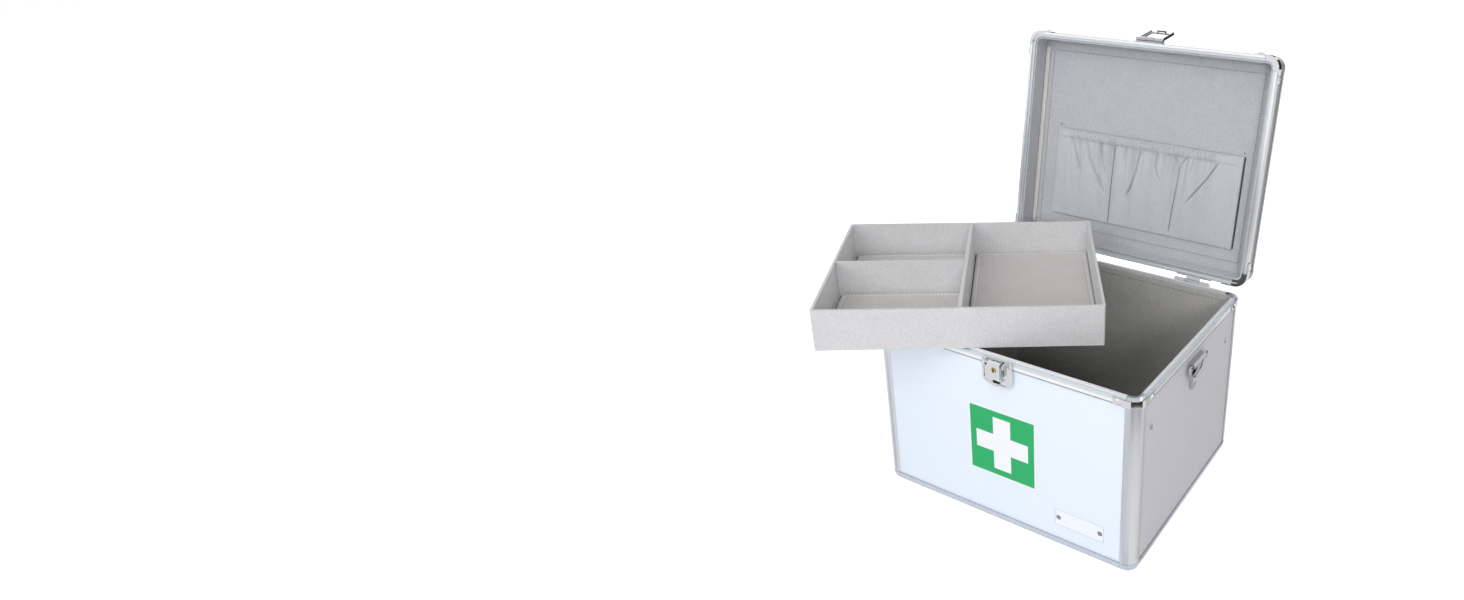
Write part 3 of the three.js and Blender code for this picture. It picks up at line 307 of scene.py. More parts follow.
class EffectGroup:
    """A shader effect that several materials share, kept as one node group."""

    name: str = ""
    inputs: Sequence[GroupSocket] = ()
    outputs: Sequence[GroupSocket] = ()

    def tree(self) -> bpy.types.NodeTree:
        """Finds the group, or makes it the first time.

        Returns:
            The node group.
        """
        known = bpy.data.node_groups.get(self.name)
        if known:
            return known
        tree = bpy.data.node_groups.new(self.name, "ShaderNodeTree")
        for direction, sockets in (("INPUT", self.inputs), ("OUTPUT", self.outputs)):
            for socket in sockets:
                made = tree.interface.new_socket(
                    socket.name, in_out=direction, socket_type=socket.kind
                )
                if socket.default is not None:
                    made.default_value = socket.default
        graph = Graph(tree)
        source = graph.add("NodeGroupInput")
        target = graph.add("NodeGroupOutput")
        self.wire(graph, source.outputs, target.inputs)
        return tree

    def wire(
        self, graph: Graph, given: bpy.types.NodeOutputs, wanted: bpy.types.NodeInputs
    ) -> None:
        """Fills the group, from its inputs to its outputs."""
        raise NotImplementedError

    def use(self, graph: Graph, **values: object) -> bpy.types.NodeOutputs:
        """Puts the group into a material, and feeds its inputs by their names."""
        return graph.put("ShaderNodeGroup", values, node_tree=self.tree())


class FibreEffect(EffectGroup):
    """Matted fibres: a mottled colour and a fine uneven nap."""

    name = "Matted fibres"
    inputs = (
        GroupSocket("Vector", "NodeSocketVector"),
        GroupSocket("Base", "NodeSocketColor"),
        GroupSocket("Shade", "NodeSocketColor"),
        GroupSocket("Grain", "NodeSocketFloat", 900.0),
    )
    outputs = (GroupSocket("Color", "NodeSocketColor"), GroupSocket("Height", "NodeSocketFloat"))

    mottle_share = 0.055
    clump_share = 0.5
    fine_layers = 3.0
    clump_layers = 2.0
    mottle_layers = 3.0
    fine_weight = 0.7
    clump_weight = 1.0
    mottle_weight = 0.35

    def wire(
        self, graph: Graph, given: bpy.types.NodeOutputs, wanted: bpy.types.NodeInputs
    ) -> None:
        """Fills the group.

        Args:
            graph: The group's graph.
            given: The group's inputs.
            wanted: The group's outputs.
        """
        where, grain = given["Vector"], given["Grain"]
        clumps = graph.math("MULTIPLY", grain, self.clump_share)
        mottling = graph.math("MULTIPLY", grain, self.mottle_share)
        fine = graph.noise(where, grain, self.fine_layers)
        clump = graph.noise(where, clumps, self.clump_layers)
        mottle = graph.noise(where, mottling, self.mottle_layers)
        layers = (
            (fine, self.fine_weight),
            (clump, self.clump_weight),
            (mottle, self.mottle_weight),
        )
        factor = (1.0 - sum(weight for _, weight in layers)) / 2
        for layer, weight in layers:
            factor = graph.math("ADD", graph.math("MULTIPLY", layer, weight), factor)
        graph.feed(wanted["Color"], graph.blend(factor, given["Base"], given["Shade"]))
        height = graph.math("ADD", graph.math("MULTIPLY", fine, self.fine_weight), clump)
        graph.feed(wanted["Height"], height)


class DrawnEffect(EffectGroup):
    """Fine lines drawn along a metal profile or a sheet, with soft handling marks."""

    name = "Drawn lines"
    inputs = (
        GroupSocket("Vector", "NodeSocketVector"),
        GroupSocket("Stretch", "NodeSocketVector"),
        GroupSocket("Roughness", "NodeSocketFloat", 0.35),
        GroupSocket("Spread", "NodeSocketFloat", 0.15),
    )
    outputs = (
        GroupSocket("Roughness", "NodeSocketFloat"),
        GroupSocket("Height", "NodeSocketFloat"),
    )

    line_layers = 2.0
    mark_layers = 4.0
    mark_scale = 38.0
    mark_share = 0.5

    def wire(
        self, graph: Graph, given: bpy.types.NodeOutputs, wanted: bpy.types.NodeInputs
    ) -> None:
        """Fills the group.

        Args:
            graph: The group's graph.
            given: The group's inputs.
            wanted: The group's outputs.
        """
        stretched = graph.scaled(given["Vector"], given["Stretch"])
        lines = graph.noise(stretched, 1.0, self.line_layers)
        marks = graph.noise(given["Vector"], self.mark_scale, self.mark_layers)
        both = graph.math("ADD", lines, graph.math("MULTIPLY", marks, self.mark_share))
        off_middle = graph.math("SUBTRACT", both, (1 + self.mark_share) / 2)
        change = graph.math("MULTIPLY", off_middle, given["Spread"])
        graph.feed(wanted["Roughness"], graph.math("ADD", given["Roughness"], change))
        graph.feed(wanted["Height"], lines)


class HandledEffect(EffectGroup):
    """Faint smears and specks on a hard, bright surface."""

    name = "Handling marks"
    inputs = (
        GroupSocket("Vector", "NodeSocketVector"),
        GroupSocket("Roughness", "NodeSocketFloat", 0.1),
        GroupSocket("Spread", "NodeSocketFloat", 0.1),
        GroupSocket("Scale", "NodeSocketFloat", 60.0),
    )
    outputs = (
        GroupSocket("Roughness", "NodeSocketFloat"),
        GroupSocket("Height", "NodeSocketFloat"),
    )

    smear_layers = 5.0
    speck_layers = 1.0
    speck_share = 22.0

    def wire(
        self, graph: Graph, given: bpy.types.NodeOutputs, wanted: bpy.types.NodeInputs
    ) -> None:
        """Fills the group.

        Args:
            graph: The group's graph.
            given: The group's inputs.
            wanted: The group's outputs.
        """
        smear = graph.noise(given["Vector"], given["Scale"], self.smear_layers)
        change = graph.math("MULTIPLY", smear, given["Spread"])
        specks = graph.math("MULTIPLY", given["Scale"], self.speck_share)
        graph.feed(wanted["Roughness"], graph.math("ADD", given["Roughness"], change))
        graph.feed(wanted["Height"], graph.noise(given["Vector"], specks, self.speck_layers))


FIBRES = FibreEffect()
DRAWN = DrawnEffect()
HANDLED = HandledEffect()


@dataclass(frozen=True)
class Finish:
    """What every finish has: the record's slot and the shader's constant values."""

    slot: str
    colour: Colour
    roughness: float = 0.5
    metallic: float = 0.0

    def build(self, name: str) -> bpy.types.Material:
        """Makes the finish's material.

        Args:
            name: The material's name.

        Returns:
            The material.
        """
        graph = MaterialGraph(name)
        graph.material.diffuse_color = self.colour
        graph.shade(Base_Color=self.colour, Roughness=self.roughness, Metallic=self.metallic)
        self.detail(graph)
        return graph.material

    def detail(self, graph: MaterialGraph) -> None:
        """Adds the finish's own detail to the material's graph."""
        raise NotImplementedError


@dataclass(frozen=True)
class Felt(Finish):
    """Matted felt or brushed cloth."""

    shade: Colour = srgb(120, 120, 120)
    grain: float = 900.0
    nap: float = 0.00025
    sheen: float = 0.25
    gloss: float = 0.2

    def detail(self, graph: MaterialGraph) -> None:
        """Adds fibres and a soft sheen.

        Args:
            graph: The material's graph.
        """
        fibres = FIBRES.use(
            graph, Vector=graph.where, Base=self.colour, Shade=self.shade, Grain=self.grain
        )
        graph.raise_surface(fibres["Height"], self.nap)
        graph.shade(
            Base_Color=fibres["Color"], Sheen_Weight=self.sheen, Specular_IOR_Level=self.gloss
        )


@dataclass(frozen=True)
class Weave(Felt):
    """Thin woven cloth: fibres with a fine plain weave over them, and painted shade in its folds.
    """

    # The colour of the painted shade in the folds.
    deep: Colour = srgb(112, 114, 120)
    fold_shade_layer: str = "fold"
    threads: float = 1500.0
    weave: float = 0.0001

    def detail(self, graph: MaterialGraph) -> None:
        """Adds fibres, painted shade in the folds, then crossing threads.

        Args:
            graph: The material's graph.
        """
        super().detail(graph)
        fibres = graph.shader.inputs["Base Color"].links[0].from_socket
        # The fold layer holds painted shade for the folds, creases and the band's ribs.
        folds = graph.add("ShaderNodeAttribute", attribute_name=self.fold_shade_layer).outputs["Fac"]
        graph.shade(Base_Color=graph.blend(folds, fibres, self.deep))
        parts = graph.parts(graph.where)
        crossing = [
            graph.math("SINE", graph.math("MULTIPLY", parts[axis], self.threads * math.tau))
            for axis in ("X", "Z")
        ]
        graph.raise_surface(graph.math("MULTIPLY", *crossing), self.weave)


@dataclass(frozen=True)
class Band:
    """A level band of another shade on a profile, by its heights on the closed case."""

    low: float
    high: float
    colour: Colour


@dataclass(frozen=True)
class DrawnMetal(Finish):
    """Satin metal with fine lines along it."""

    metallic: float = 1.0
    stretch: Point3 = (12.0, 12.0, 2500.0)
    spread: float = 0.14
    depth: float = 0.000008
    opening: float = 0.0
    bands: tuple[Band, ...] = ()
    band_edge: float = 0.0003

    def detail(self, graph: MaterialGraph) -> None:
        """Adds drawn lines, and the profile's bands, which paint reflection and shade into its
        colour.

        Args:
            graph: The material's graph.
        """
        place = graph.closed_place(self.opening)
        drawn = DRAWN.use(
            graph, Vector=place, Stretch=self.stretch, Roughness=self.roughness, Spread=self.spread
        )
        graph.shade(Roughness=drawn["Roughness"])
        graph.raise_surface(drawn["Height"], self.depth)
        if not self.bands:
            return
        # The bands colour the metal by height: painted reflection and painted contact shade on the
        # rims, a painted sky reflection and two thin lines on the trim.
        level, colour = graph.parts(place)["Z"], self.colour
        for band in self.bands:
            above = graph.between(level, band.low - self.band_edge, band.low)
            below = graph.between(level, band.high + self.band_edge, band.high)
            colour = graph.blend(graph.math("MULTIPLY", above, below), colour, band.colour)
        graph.shade(Base_Color=colour)


@dataclass(frozen=True)
class RibbedLaminate(Finish):
    """Laminate with fine level ribs, painted shade in their valleys, and a faint fleck."""

    pitch: float = 0.0023
    rib_share: float = 0.32
    rib_and_fleck_shade_share: float = 0.82
    fleck_share: float = 0.25
    fleck_scale: float = 1400.0
    fleck_layers: float = 1.0
    depth: float = 0.00009
    spread: float = 0.1
    scale: float = 30.0
    opening: float = 0.0

    def detail(self, graph: MaterialGraph) -> None:
        """Adds the ribs with painted shade in their valleys, the fleck and handling marks.

        Args:
            graph: The material's graph.
        """
        place = graph.closed_place(self.opening)
        wave = graph.math(
            "SINE", graph.math("MULTIPLY", graph.parts(place)["Z"], math.tau / self.pitch)
        )
        rib = graph.math("ADD", graph.math("MULTIPLY", wave, 0.5), 0.5)
        ribbed = graph.math("MULTIPLY", rib, self.rib_share)
        fleck = graph.noise(place, self.fleck_scale, self.fleck_layers)
        flecked = graph.math("MULTIPLY", fleck, self.fleck_share)
        # The ribs paint shade into their valleys; the fleck varies the tone at random.
        dark = tuple(part * self.rib_and_fleck_shade_share for part in self.colour[:3]) + (1.0,)
        marks = HANDLED.use(
            graph,
            Vector=graph.where,
            Roughness=self.roughness,
            Spread=self.spread,
            Scale=self.scale,
        )
        graph.shade(
            Base_Color=graph.blend(graph.math("ADD", ribbed, flecked), self.colour, dark),
            Roughness=marks["Roughness"],
        )
        graph.raise_surface(graph.math("SUBTRACT", 1.0, rib), self.depth)


@dataclass(frozen=True)
class Bright(Finish):
    """Plated metal, lacquer or moulded plastic with faint handling marks."""

    spread: float = 0.08
    scale: float = 60.0
    depth: float = 0.000004
    coat: float = 0.0
    gloss: float = 0.5

    def detail(self, graph: MaterialGraph) -> None:
        """Adds smears and specks.

        Args:
            graph: The material's graph.
        """
        marks = HANDLED.use(
            graph,
            Vector=graph.where,
            Roughness=self.roughness,
            Spread=self.spread,
            Scale=self.scale,
        )
        graph.shade(
            Roughness=marks["Roughness"], Coat_Weight=self.coat, Specular_IOR_Level=self.gloss
        )
        graph.raise_surface(marks["Height"], self.depth)


@dataclass(frozen=True)
class ProfileBands:
    """How far the profiles' bands lie from the edge of the rim, or from both edges of the trim. On
    each rim a cool band is a painted reflection and a grey band a painted contact shade; on the
    trim a sky band is a painted reflection, with two thin darker lines.
    """

    # A rim's cool band is a painted reflection; its grey band is a painted contact shade where it
    # meets the panel.
    rim_painted_reflection: Span = (0.0016, 0.0052)
    rim_painted_shade: Span = (0.0088, 0.0100)
    lid_rim_drop: float = 0.0019
    trim_foot: Span = (0.0012, 0.0022)
    # The trim's sky band is a painted reflection.
    trim_painted_reflection: Span = (0.0028, 0.0012)
    trim_top: Span = (0.0006, 0.0002)
    cool: Colour = srgb(214, 220, 227)
    grey: Colour = srgb(150, 153, 160)
    sky: Colour = srgb(204, 212, 226)
    line: Colour = srgb(184, 187, 196)

    def on_rim(self, edge: float, way: int) -> tuple[Band, ...]:
        """Places the bands of a rim: a cool painted reflection and a grey painted contact shade.

        Args:
            edge: The height of the rim's edge.
            way: 1 where the rim rises from the edge, and -1 where it hangs from it.

        Returns:
            The bands.
        """
        bands = []
        for span, colour in ((self.rim_painted_reflection, self.cool), (self.rim_painted_shade, self.grey)):
            low, high = sorted(edge + way * distance for distance in span)
            bands.append(Band(low, high, colour))
        return tuple(bands)

    def on_trim(self, top: float) -> tuple[Band, ...]:
        """Places the bands of the base trim: a painted sky reflection and two thin darker lines.

        Args:
            top: The height of the trim's upper edge.

        Returns:
            The bands.
        """
        return (
            Band(self.trim_painted_reflection[0], top - self.trim_painted_reflection[1], self.sky),
            Band(*self.trim_foot, self.line),
            Band(top - self.trim_top[0], top + self.trim_top[1], self.line),
        )


class Palette:
    """All the finishes, each made once."""

    along_z: Point3 = (2500.0, 2500.0, 12.0)

    def __init__(self) -> None:
        """Sets every finish, with the bands that the profiles' heights ask for."""
        opening = lid_opening()
        pale = srgb(228, 230, 235)
        bright = srgb(244, 245, 247)
        cap = srgb(190, 188, 183)
        plated = {"roughness": 0.03, "metallic": 1.0, "spread": 0.04, "depth": 5e-7}
        profile = ProfileBands()
        trim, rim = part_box("base_trim")[1].z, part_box("body_rim")[1].z
        self.finishes: dict[Surface, Finish] = {
            Surface.FRONT_LAMINATE: Bright(
                "white_panel", srgb(227, 236, 248), 0.36, spread=0.1, scale=25.0
            ),
            Surface.SIDE_LAMINATE: RibbedLaminate("grey_panel", srgb(223, 223, 230), 0.42),
            # A darker copy of the grey panel laminate: painted shade on the open lid's side.
            Surface.LID_LAMINATE_SHADED: RibbedLaminate(
                "grey_panel", srgb(184, 183, 185), 0.42, opening=opening
            ),
            Surface.POST_METAL: DrawnMetal("satin_aluminium", pale, 0.3, stretch=self.along_z),
            # The trim's sky band is a painted reflection.
            Surface.TRIM_METAL: DrawnMetal(
                "satin_aluminium", bright, 0.25, 0.6, bands=profile.on_trim(trim)
            ),
            # The rims' bands are a painted reflection and a painted contact shade.
            Surface.RIM_METAL: DrawnMetal(
                "satin_aluminium", bright, 0.16, 0.4, depth=0.000002, bands=profile.on_rim(rim, -1)
            ),
            Surface.LID_RIM_METAL: DrawnMetal(
                "satin_aluminium", bright, 0.16, 0.5, depth=0.000002, opening=opening,
                bands=profile.on_rim(rim - profile.lid_rim_drop, 1),
            ),
            Surface.LID_METAL: DrawnMetal("satin_aluminium", pale, 0.25, opening=opening),
            Surface.CAP_METAL: DrawnMetal("satin_aluminium", cap, 0.5, 0.7, opening=opening),
            Surface.CHROME: Bright("chrome", srgb(228, 229, 232), **plated),
            # A darker copy of the chrome: painted shade for the fittings' darker reflections.
            Surface.FITTING_CHROME_SHADED: Bright("chrome", srgb(194, 194, 198), **plated),
            Surface.SPRING_STEEL: Bright("spring_steel", srgb(96, 98, 104), 0.25, metallic=1.0),
            Surface.BRASS: Bright("brass", srgb(226, 196, 128), 0.16, metallic=1.0),
            Surface.BODY_FELT: Felt("felt", srgb(193, 192, 190), 0.95, shade=srgb(163, 162, 160)),
            # A lighter, cooler copy of the lining felt: painted light on the lid's lining.
            Surface.LID_FELT_COOL_LIT: Felt("felt", srgb(196, 198, 203), 0.95, shade=srgb(168, 170, 175)),
            Surface.TRAY_FELT: Felt(
                "tray_felt", srgb(222, 221, 223), 0.95, shade=srgb(194, 193, 195)
            ),
            Surface.PAD_FELT: Felt(
                "tray_felt", srgb(212, 210, 208), 0.95, shade=srgb(184, 182, 181)
            ),
            Surface.PIPING_FELT: Felt("felt", srgb(222, 220, 214), 0.95, shade=srgb(206, 204, 198)),
            Surface.POCKET_CLOTH: Weave(
                "pocket_cloth", srgb(212, 215, 221), 0.9, shade=srgb(192, 195, 202)
            ),
            Surface.THREAD: Bright("tray_felt", srgb(250, 250, 250), 0.7, spread=0.1, scale=900.0),
            # The lining's threads are darkened with painted shade of their stitch holes.
            Surface.HEM_THREAD_AND_SHADE: Bright("felt", srgb(88, 87, 86), 0.8, spread=0.1, scale=900.0),
            Surface.LID_THREAD_AND_SHADE: Bright("felt", srgb(136, 138, 143), 0.8, spread=0.1, scale=900.0),
            Surface.SIGN_GREEN: Bright("", srgb(50, 172, 106), 0.6, spread=0.06, gloss=0.2),
            Surface.SIGN_WHITE: Bright(
                "white_panel", srgb(238, 240, 245), 0.6, spread=0.06, gloss=0.2
            ),
            Surface.BARE_PLATE: Bright(
                "white_panel", srgb(236, 240, 248), 0.25, scale=40.0, coat=0.3
            ),
            Surface.GRIP: Bright(
                "black_grip", srgb(38, 39, 41), 0.5, spread=0.15, scale=90.0, depth=0.00002
            ),
            # Dark thread for the pocket's tacks, and painted shade for the dark strips in the gaps
            # by the pocket and the pads.
            Surface.DARK_THREAD_AND_SHADE: Bright("felt", srgb(84, 82, 84), 0.9, scale=500.0),
            Surface.PLATE_LINE: Bright("white_panel", srgb(176, 180, 188), 0.4, scale=40.0),
            # Painted shade for the studs' slots and rings and for the keyhole.
            Surface.SLOT: Bright("spring_steel", srgb(52, 50, 50), 0.6, scale=300.0),
        }
        self.made: dict[Surface, bpy.types.Material] = {}

    def material(self, surface: Surface) -> bpy.types.Material:
        """Gives a surface's material.

        Args:
            surface: The surface.

        Returns:
            Its material.
        """
        if surface not in self.made:
            self.made[surface] = self.finishes[surface].build(surface.name.lower())
        return self.made[surface]

    def slot(self, surface: Surface) -> str:
        """Gives the record's slot that a surface takes its finish from."""
        return self.finishes[surface].slot


class Workshop:
    """Makes pieces, and dresses the solids that the model brings."""

    bevel_steps = 3
    sharp_angle = math.radians(32)

    def __init__(self, palette: Palette) -> None:
        """Takes the palette, and starts the list of what was made and dressed."""
        self.palette = palette
        self.pieces: list[bpy.types.Object] = []

    def dress(self, node: str, surface: Surface, edge: float = 0.0004) -> None:
        """Gives one of the model's solids its finish and softened edges.

        Args:
            node: The solid's name.
            surface: Its finish.
            edge: How wide the softened edge is.
        """
        solid = frame["nodes"][node]
        solid.data.materials.clear()
        solid.data.materials.append(self.palette.material(surface))
        for polygon in solid.data.polygons:
            polygon.use_smooth = True
        self.soften(solid, edge, self.bevel_steps)
        self.pieces.append(solid)

    def piece(
        self, name: str, mesh: bmesh.types.BMesh, surface: Surface, body: str, flat: bool = False
    ) -> bpy.types.Object:
        """Turns a built mesh into a piece that rides on a body.

        Args:
            name: The piece's name.
            mesh: The built mesh, in the model's frame. It is freed.
            surface: The piece's finish.
            body: The body that it rides on.
            flat: Whether its faces are plain.

        Returns:
            The piece.
        """
        data = bpy.data.meshes.new(name)
        bmesh.ops.recalc_face_normals(mesh, faces=mesh.faces)
        mesh.to_mesh(data)
        mesh.free()
        data.materials.append(self.palette.material(surface))
        if flat:
            data.shade_flat()
        else:
            data.shade_smooth()
        made = bpy.data.objects.new(name, data)
        bpy.context.scene.collection.objects.link(made)
        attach(made, body)
        if self.palette.slot(surface):
            self.palette.slot(surface)
        self.pieces.append(made)
        return made

    def soften(self, made: bpy.types.Object, edge: float, steps: int = 2) -> None:
        """Adds a bevel to a piece's sharp edges.

        Args:
            made: The piece.
            edge: The bevel's width.
            steps: How many faces the bevel has.
        """
        bevel = made.modifiers.new("Softened edges", "BEVEL")
        bevel.width = edge
        bevel.segments = steps
        bevel.limit_method = "ANGLE"
        bevel.angle_limit = self.sharp_angle
        bevel.harden_normals = True


def rectangle(left: float, right: float, low: float, high: float) -> list[Point2]:
    """Gives a rectangle's corners."""
    return [(left, low), (right, low), (right, high), (left, high)]


def rounded_outline(width: float, height: float, radius: float, steps: int = 5) -> list[Point2]:
    """Gives a rectangle with rounded corners, about its centre.

    Args:
        width: The rectangle's width.
        height: The rectangle's height.
        radius: The corners' radius.
        steps: How many edges each corner has.

    Returns:
        The outline's points.
    """
    points = []
    for quarter, (side, end) in enumerate(((1, 1), (-1, 1), (-1, -1), (1, -1))):
        for step in range(steps + 1):
            turn = (quarter + step / steps) * math.pi / 2
            across = side * (width / 2 - radius) + radius * math.cos(turn)
            along = end * (height / 2 - radius) + radius * math.sin(turn)
            points.append((across, along))
    return points


def on_front(centre: Vector, across: float, up: float, out: float) -> Vector:
    """Places a point about the centre of an upright face that looks to the front."""
    return centre + Vector((across, -out, up))


def skin(mesh: bmesh.types.BMesh, rings: Sequence[Ring]) -> None:
    """Joins rings of equally many points into an open tube.

    Args:
        mesh: The mesh to add to.
        rings: The rings, from one end to the other.
    """
    for first, second in zip(rings, rings[1:]):
        for index in range(len(first)):
            after = (index + 1) % len(first)
            mesh.faces.new((first[index], first[after], second[after], second[index]))


def loft(mesh: bmesh.types.BMesh, rings: Sequence[Ring]) -> None:
    """Joins rings of equally many points into a closed form.

    Args:
        mesh: The mesh to add to.
        rings: The rings, from one end to the other.
    """
    skin(mesh, rings)
    mesh.faces.new(list(reversed(rings[0])))
    mesh.faces.new(rings[-1])


def span_rows(mesh: bmesh.types.BMesh, rows: Sequence[Ring]) -> None:
    """Joins rows of equally many points into an open sheet.

    Args:
        mesh: The mesh to add to.
        rows: The rows, from one edge to the other.
    """
    for lower, upper in zip(rows, rows[1:]):
        for index in range(len(lower) - 1):
            mesh.faces.new((lower[index], lower[index + 1], upper[index + 1], upper[index]))


def border(rows: Sequence[Ring]) -> Ring:
    """Gives the points round a sheet, in order."""
    right, left = [row[-1] for row in rows[1:-1]], [row[0] for row in rows[1:-1]]
    return [*rows[0], *right, *reversed(rows[-1]), *reversed(left)]


def slab(
    mesh: bmesh.types.BMesh, outline: Sequence[Point2], low: float, high: float, place: Placer
) -> None:
    """Adds a flat piece by its outline and the heights of its two faces, put where it belongs."""
    loft(mesh, [[mesh.verts.new(place(a, b, level)) for a, b in outline] for level in (low, high)])


def dome(
    mesh: bmesh.types.BMesh, centre: Vector, out: Vector, radius: float, height: float
) -> None:
    """Adds a low round head.

    Args:
        mesh: The mesh to add to.
        centre: The middle of its foot.
        out: The direction that it faces.
        radius: Its radius.
        height: How far it stands out.
    """
    sides, steps = 20, 5
    matrix = Matrix.Translation(centre) @ out.to_track_quat("Z", "Y").to_matrix().to_4x4()
    rings = []
    for step in range(steps):
        angle = step / steps * math.pi / 2
        reach, lift = radius * math.cos(angle), height * math.sin(angle)
        turns = [math.tau * side / sides for side in range(sides)]
        ring = [Vector((reach * math.cos(turn), reach * math.sin(turn), lift)) for turn in turns]
        rings.append([mesh.verts.new(matrix @ point) for point in ring])
    top = mesh.verts.new(matrix @ Vector((0, 0, height)))
    skin(mesh, rings)
    for side in range(sides):
        mesh.faces.new((rings[-1][side], rings[-1][(side + 1) % sides], top))
    mesh.faces.new(list(reversed(rings[0])))


@dataclass(frozen=True)
class Stitch:
    """The size of a sewn line's stitches, each a short thread with rounded ends."""

    pitch: float = 0.0042
    length: float = 0.0029
    thickness: float = 0.0007
    sides: int = 6
    girths: tuple[Point2, ...] = ((-1.0, 0.35), (-0.6, 1.0), (0.6, 1.0), (1.0, 0.35))

    def sew(self, mesh: bmesh.types.BMesh, path: Sequence[Vector], out: Vector) -> None:
        """Adds stitches along a path.

        Args:
            mesh: The mesh to add to.
            path: The path's corners.
            out: The direction that the cloth faces.
        """
        for start, end in zip(path, path[1:]):
            span = end - start
            count = max(1, round(span.length / self.pitch))
            along = span.normalized()
            across = out.cross(along).normalized()
            for index in range(count):
                middle = start + span * ((index + 0.5) / count)
                self.thread(mesh, middle, along, across, out)

    def thread(
        self, mesh: bmesh.types.BMesh, middle: Vector, along: Vector, across: Vector, out: Vector
    ) -> None:
        """Adds one stitch.

        Args:
            mesh: The mesh to add to.
            middle: Its middle.
            along: The direction of the sewn line.
            across: The direction across the line.
            out: The direction that the cloth faces.
        """
        rings = []
        for share, girth in self.girths:
            centre = middle + along * (share * self.length / 2)
            radius = girth * self.thickness / 2
            turns = [math.tau * side / self.sides for side in range(self.sides)]
            ring = [
                centre + (across * math.cos(turn) + out * math.sin(turn)) * radius
                for turn in turns
            ]
            rings.append([mesh.verts.new(point) for point in ring])
        loft(mesh, rings)


@dataclass(frozen=True)
class CaseSize:
    """The case's outer sizes, read from the model's solids."""

    width: float
    depth: float
    rim: float
    wall: float = 0.0083
    cell: float = 0.016
    corners: tuple[str, ...] = ("front_left", "front_right", "back_right", "back_left")

    @classmethod
    def from_frame(cls) -> "CaseSize":
        """Reads the sizes from the model's base trim and rim."""
        low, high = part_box("base_trim")
        return cls(high.x - low.x, high.y - low.y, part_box("body_rim")[1].z)


@dataclass(frozen=True)
class SignSize:
    """The green sign on the front."""

    side: float = 0.080
    margin: float = 0.0014
    centre_x: float = 0.002
    below_rim: float = 0.107
    cross: float = 0.065
    arm: float = 0.0217
    film: float = 0.00012
    ink: float = 0.00006
    seat: float = 0.00002


@dataclass(frozen=True)
class PlateSize:
    """The small bare plate on the front."""

    width: float = 0.058
    height: float = 0.0205
    centre_x: float = 0.096
    below_rim: float = 0.1715
    seat: float = 0.00002
    thickness: float = 0.0006
    radius: float = 0.0006
    line: float = 0.0004
    ink: float = 0.00006
    stud_from_end: float = 0.0046
    stud_radius: float = 0.0022
    stud_height: float = 0.0008
    # A dark ring of painted shade round each stud's foot: its radius and height.
    stud_shade_ring: tuple[float, float] = (0.0028, 0.0002)
    # Each stud's slot, painted as a dark bar of shade: its length and width.
    slot: tuple[float, float] = (0.0030, 0.0006)
    slot_turn: float = math.radians(60)


@dataclass(frozen=True)
class PanelRivetSize:
    """The rivets through the side panels that hold the inner ledges."""

    from_front: float = 0.030
    from_back: float = 0.036
    below_rim: float = 0.045
    radius: float = 0.0036
    height: float = 0.0014


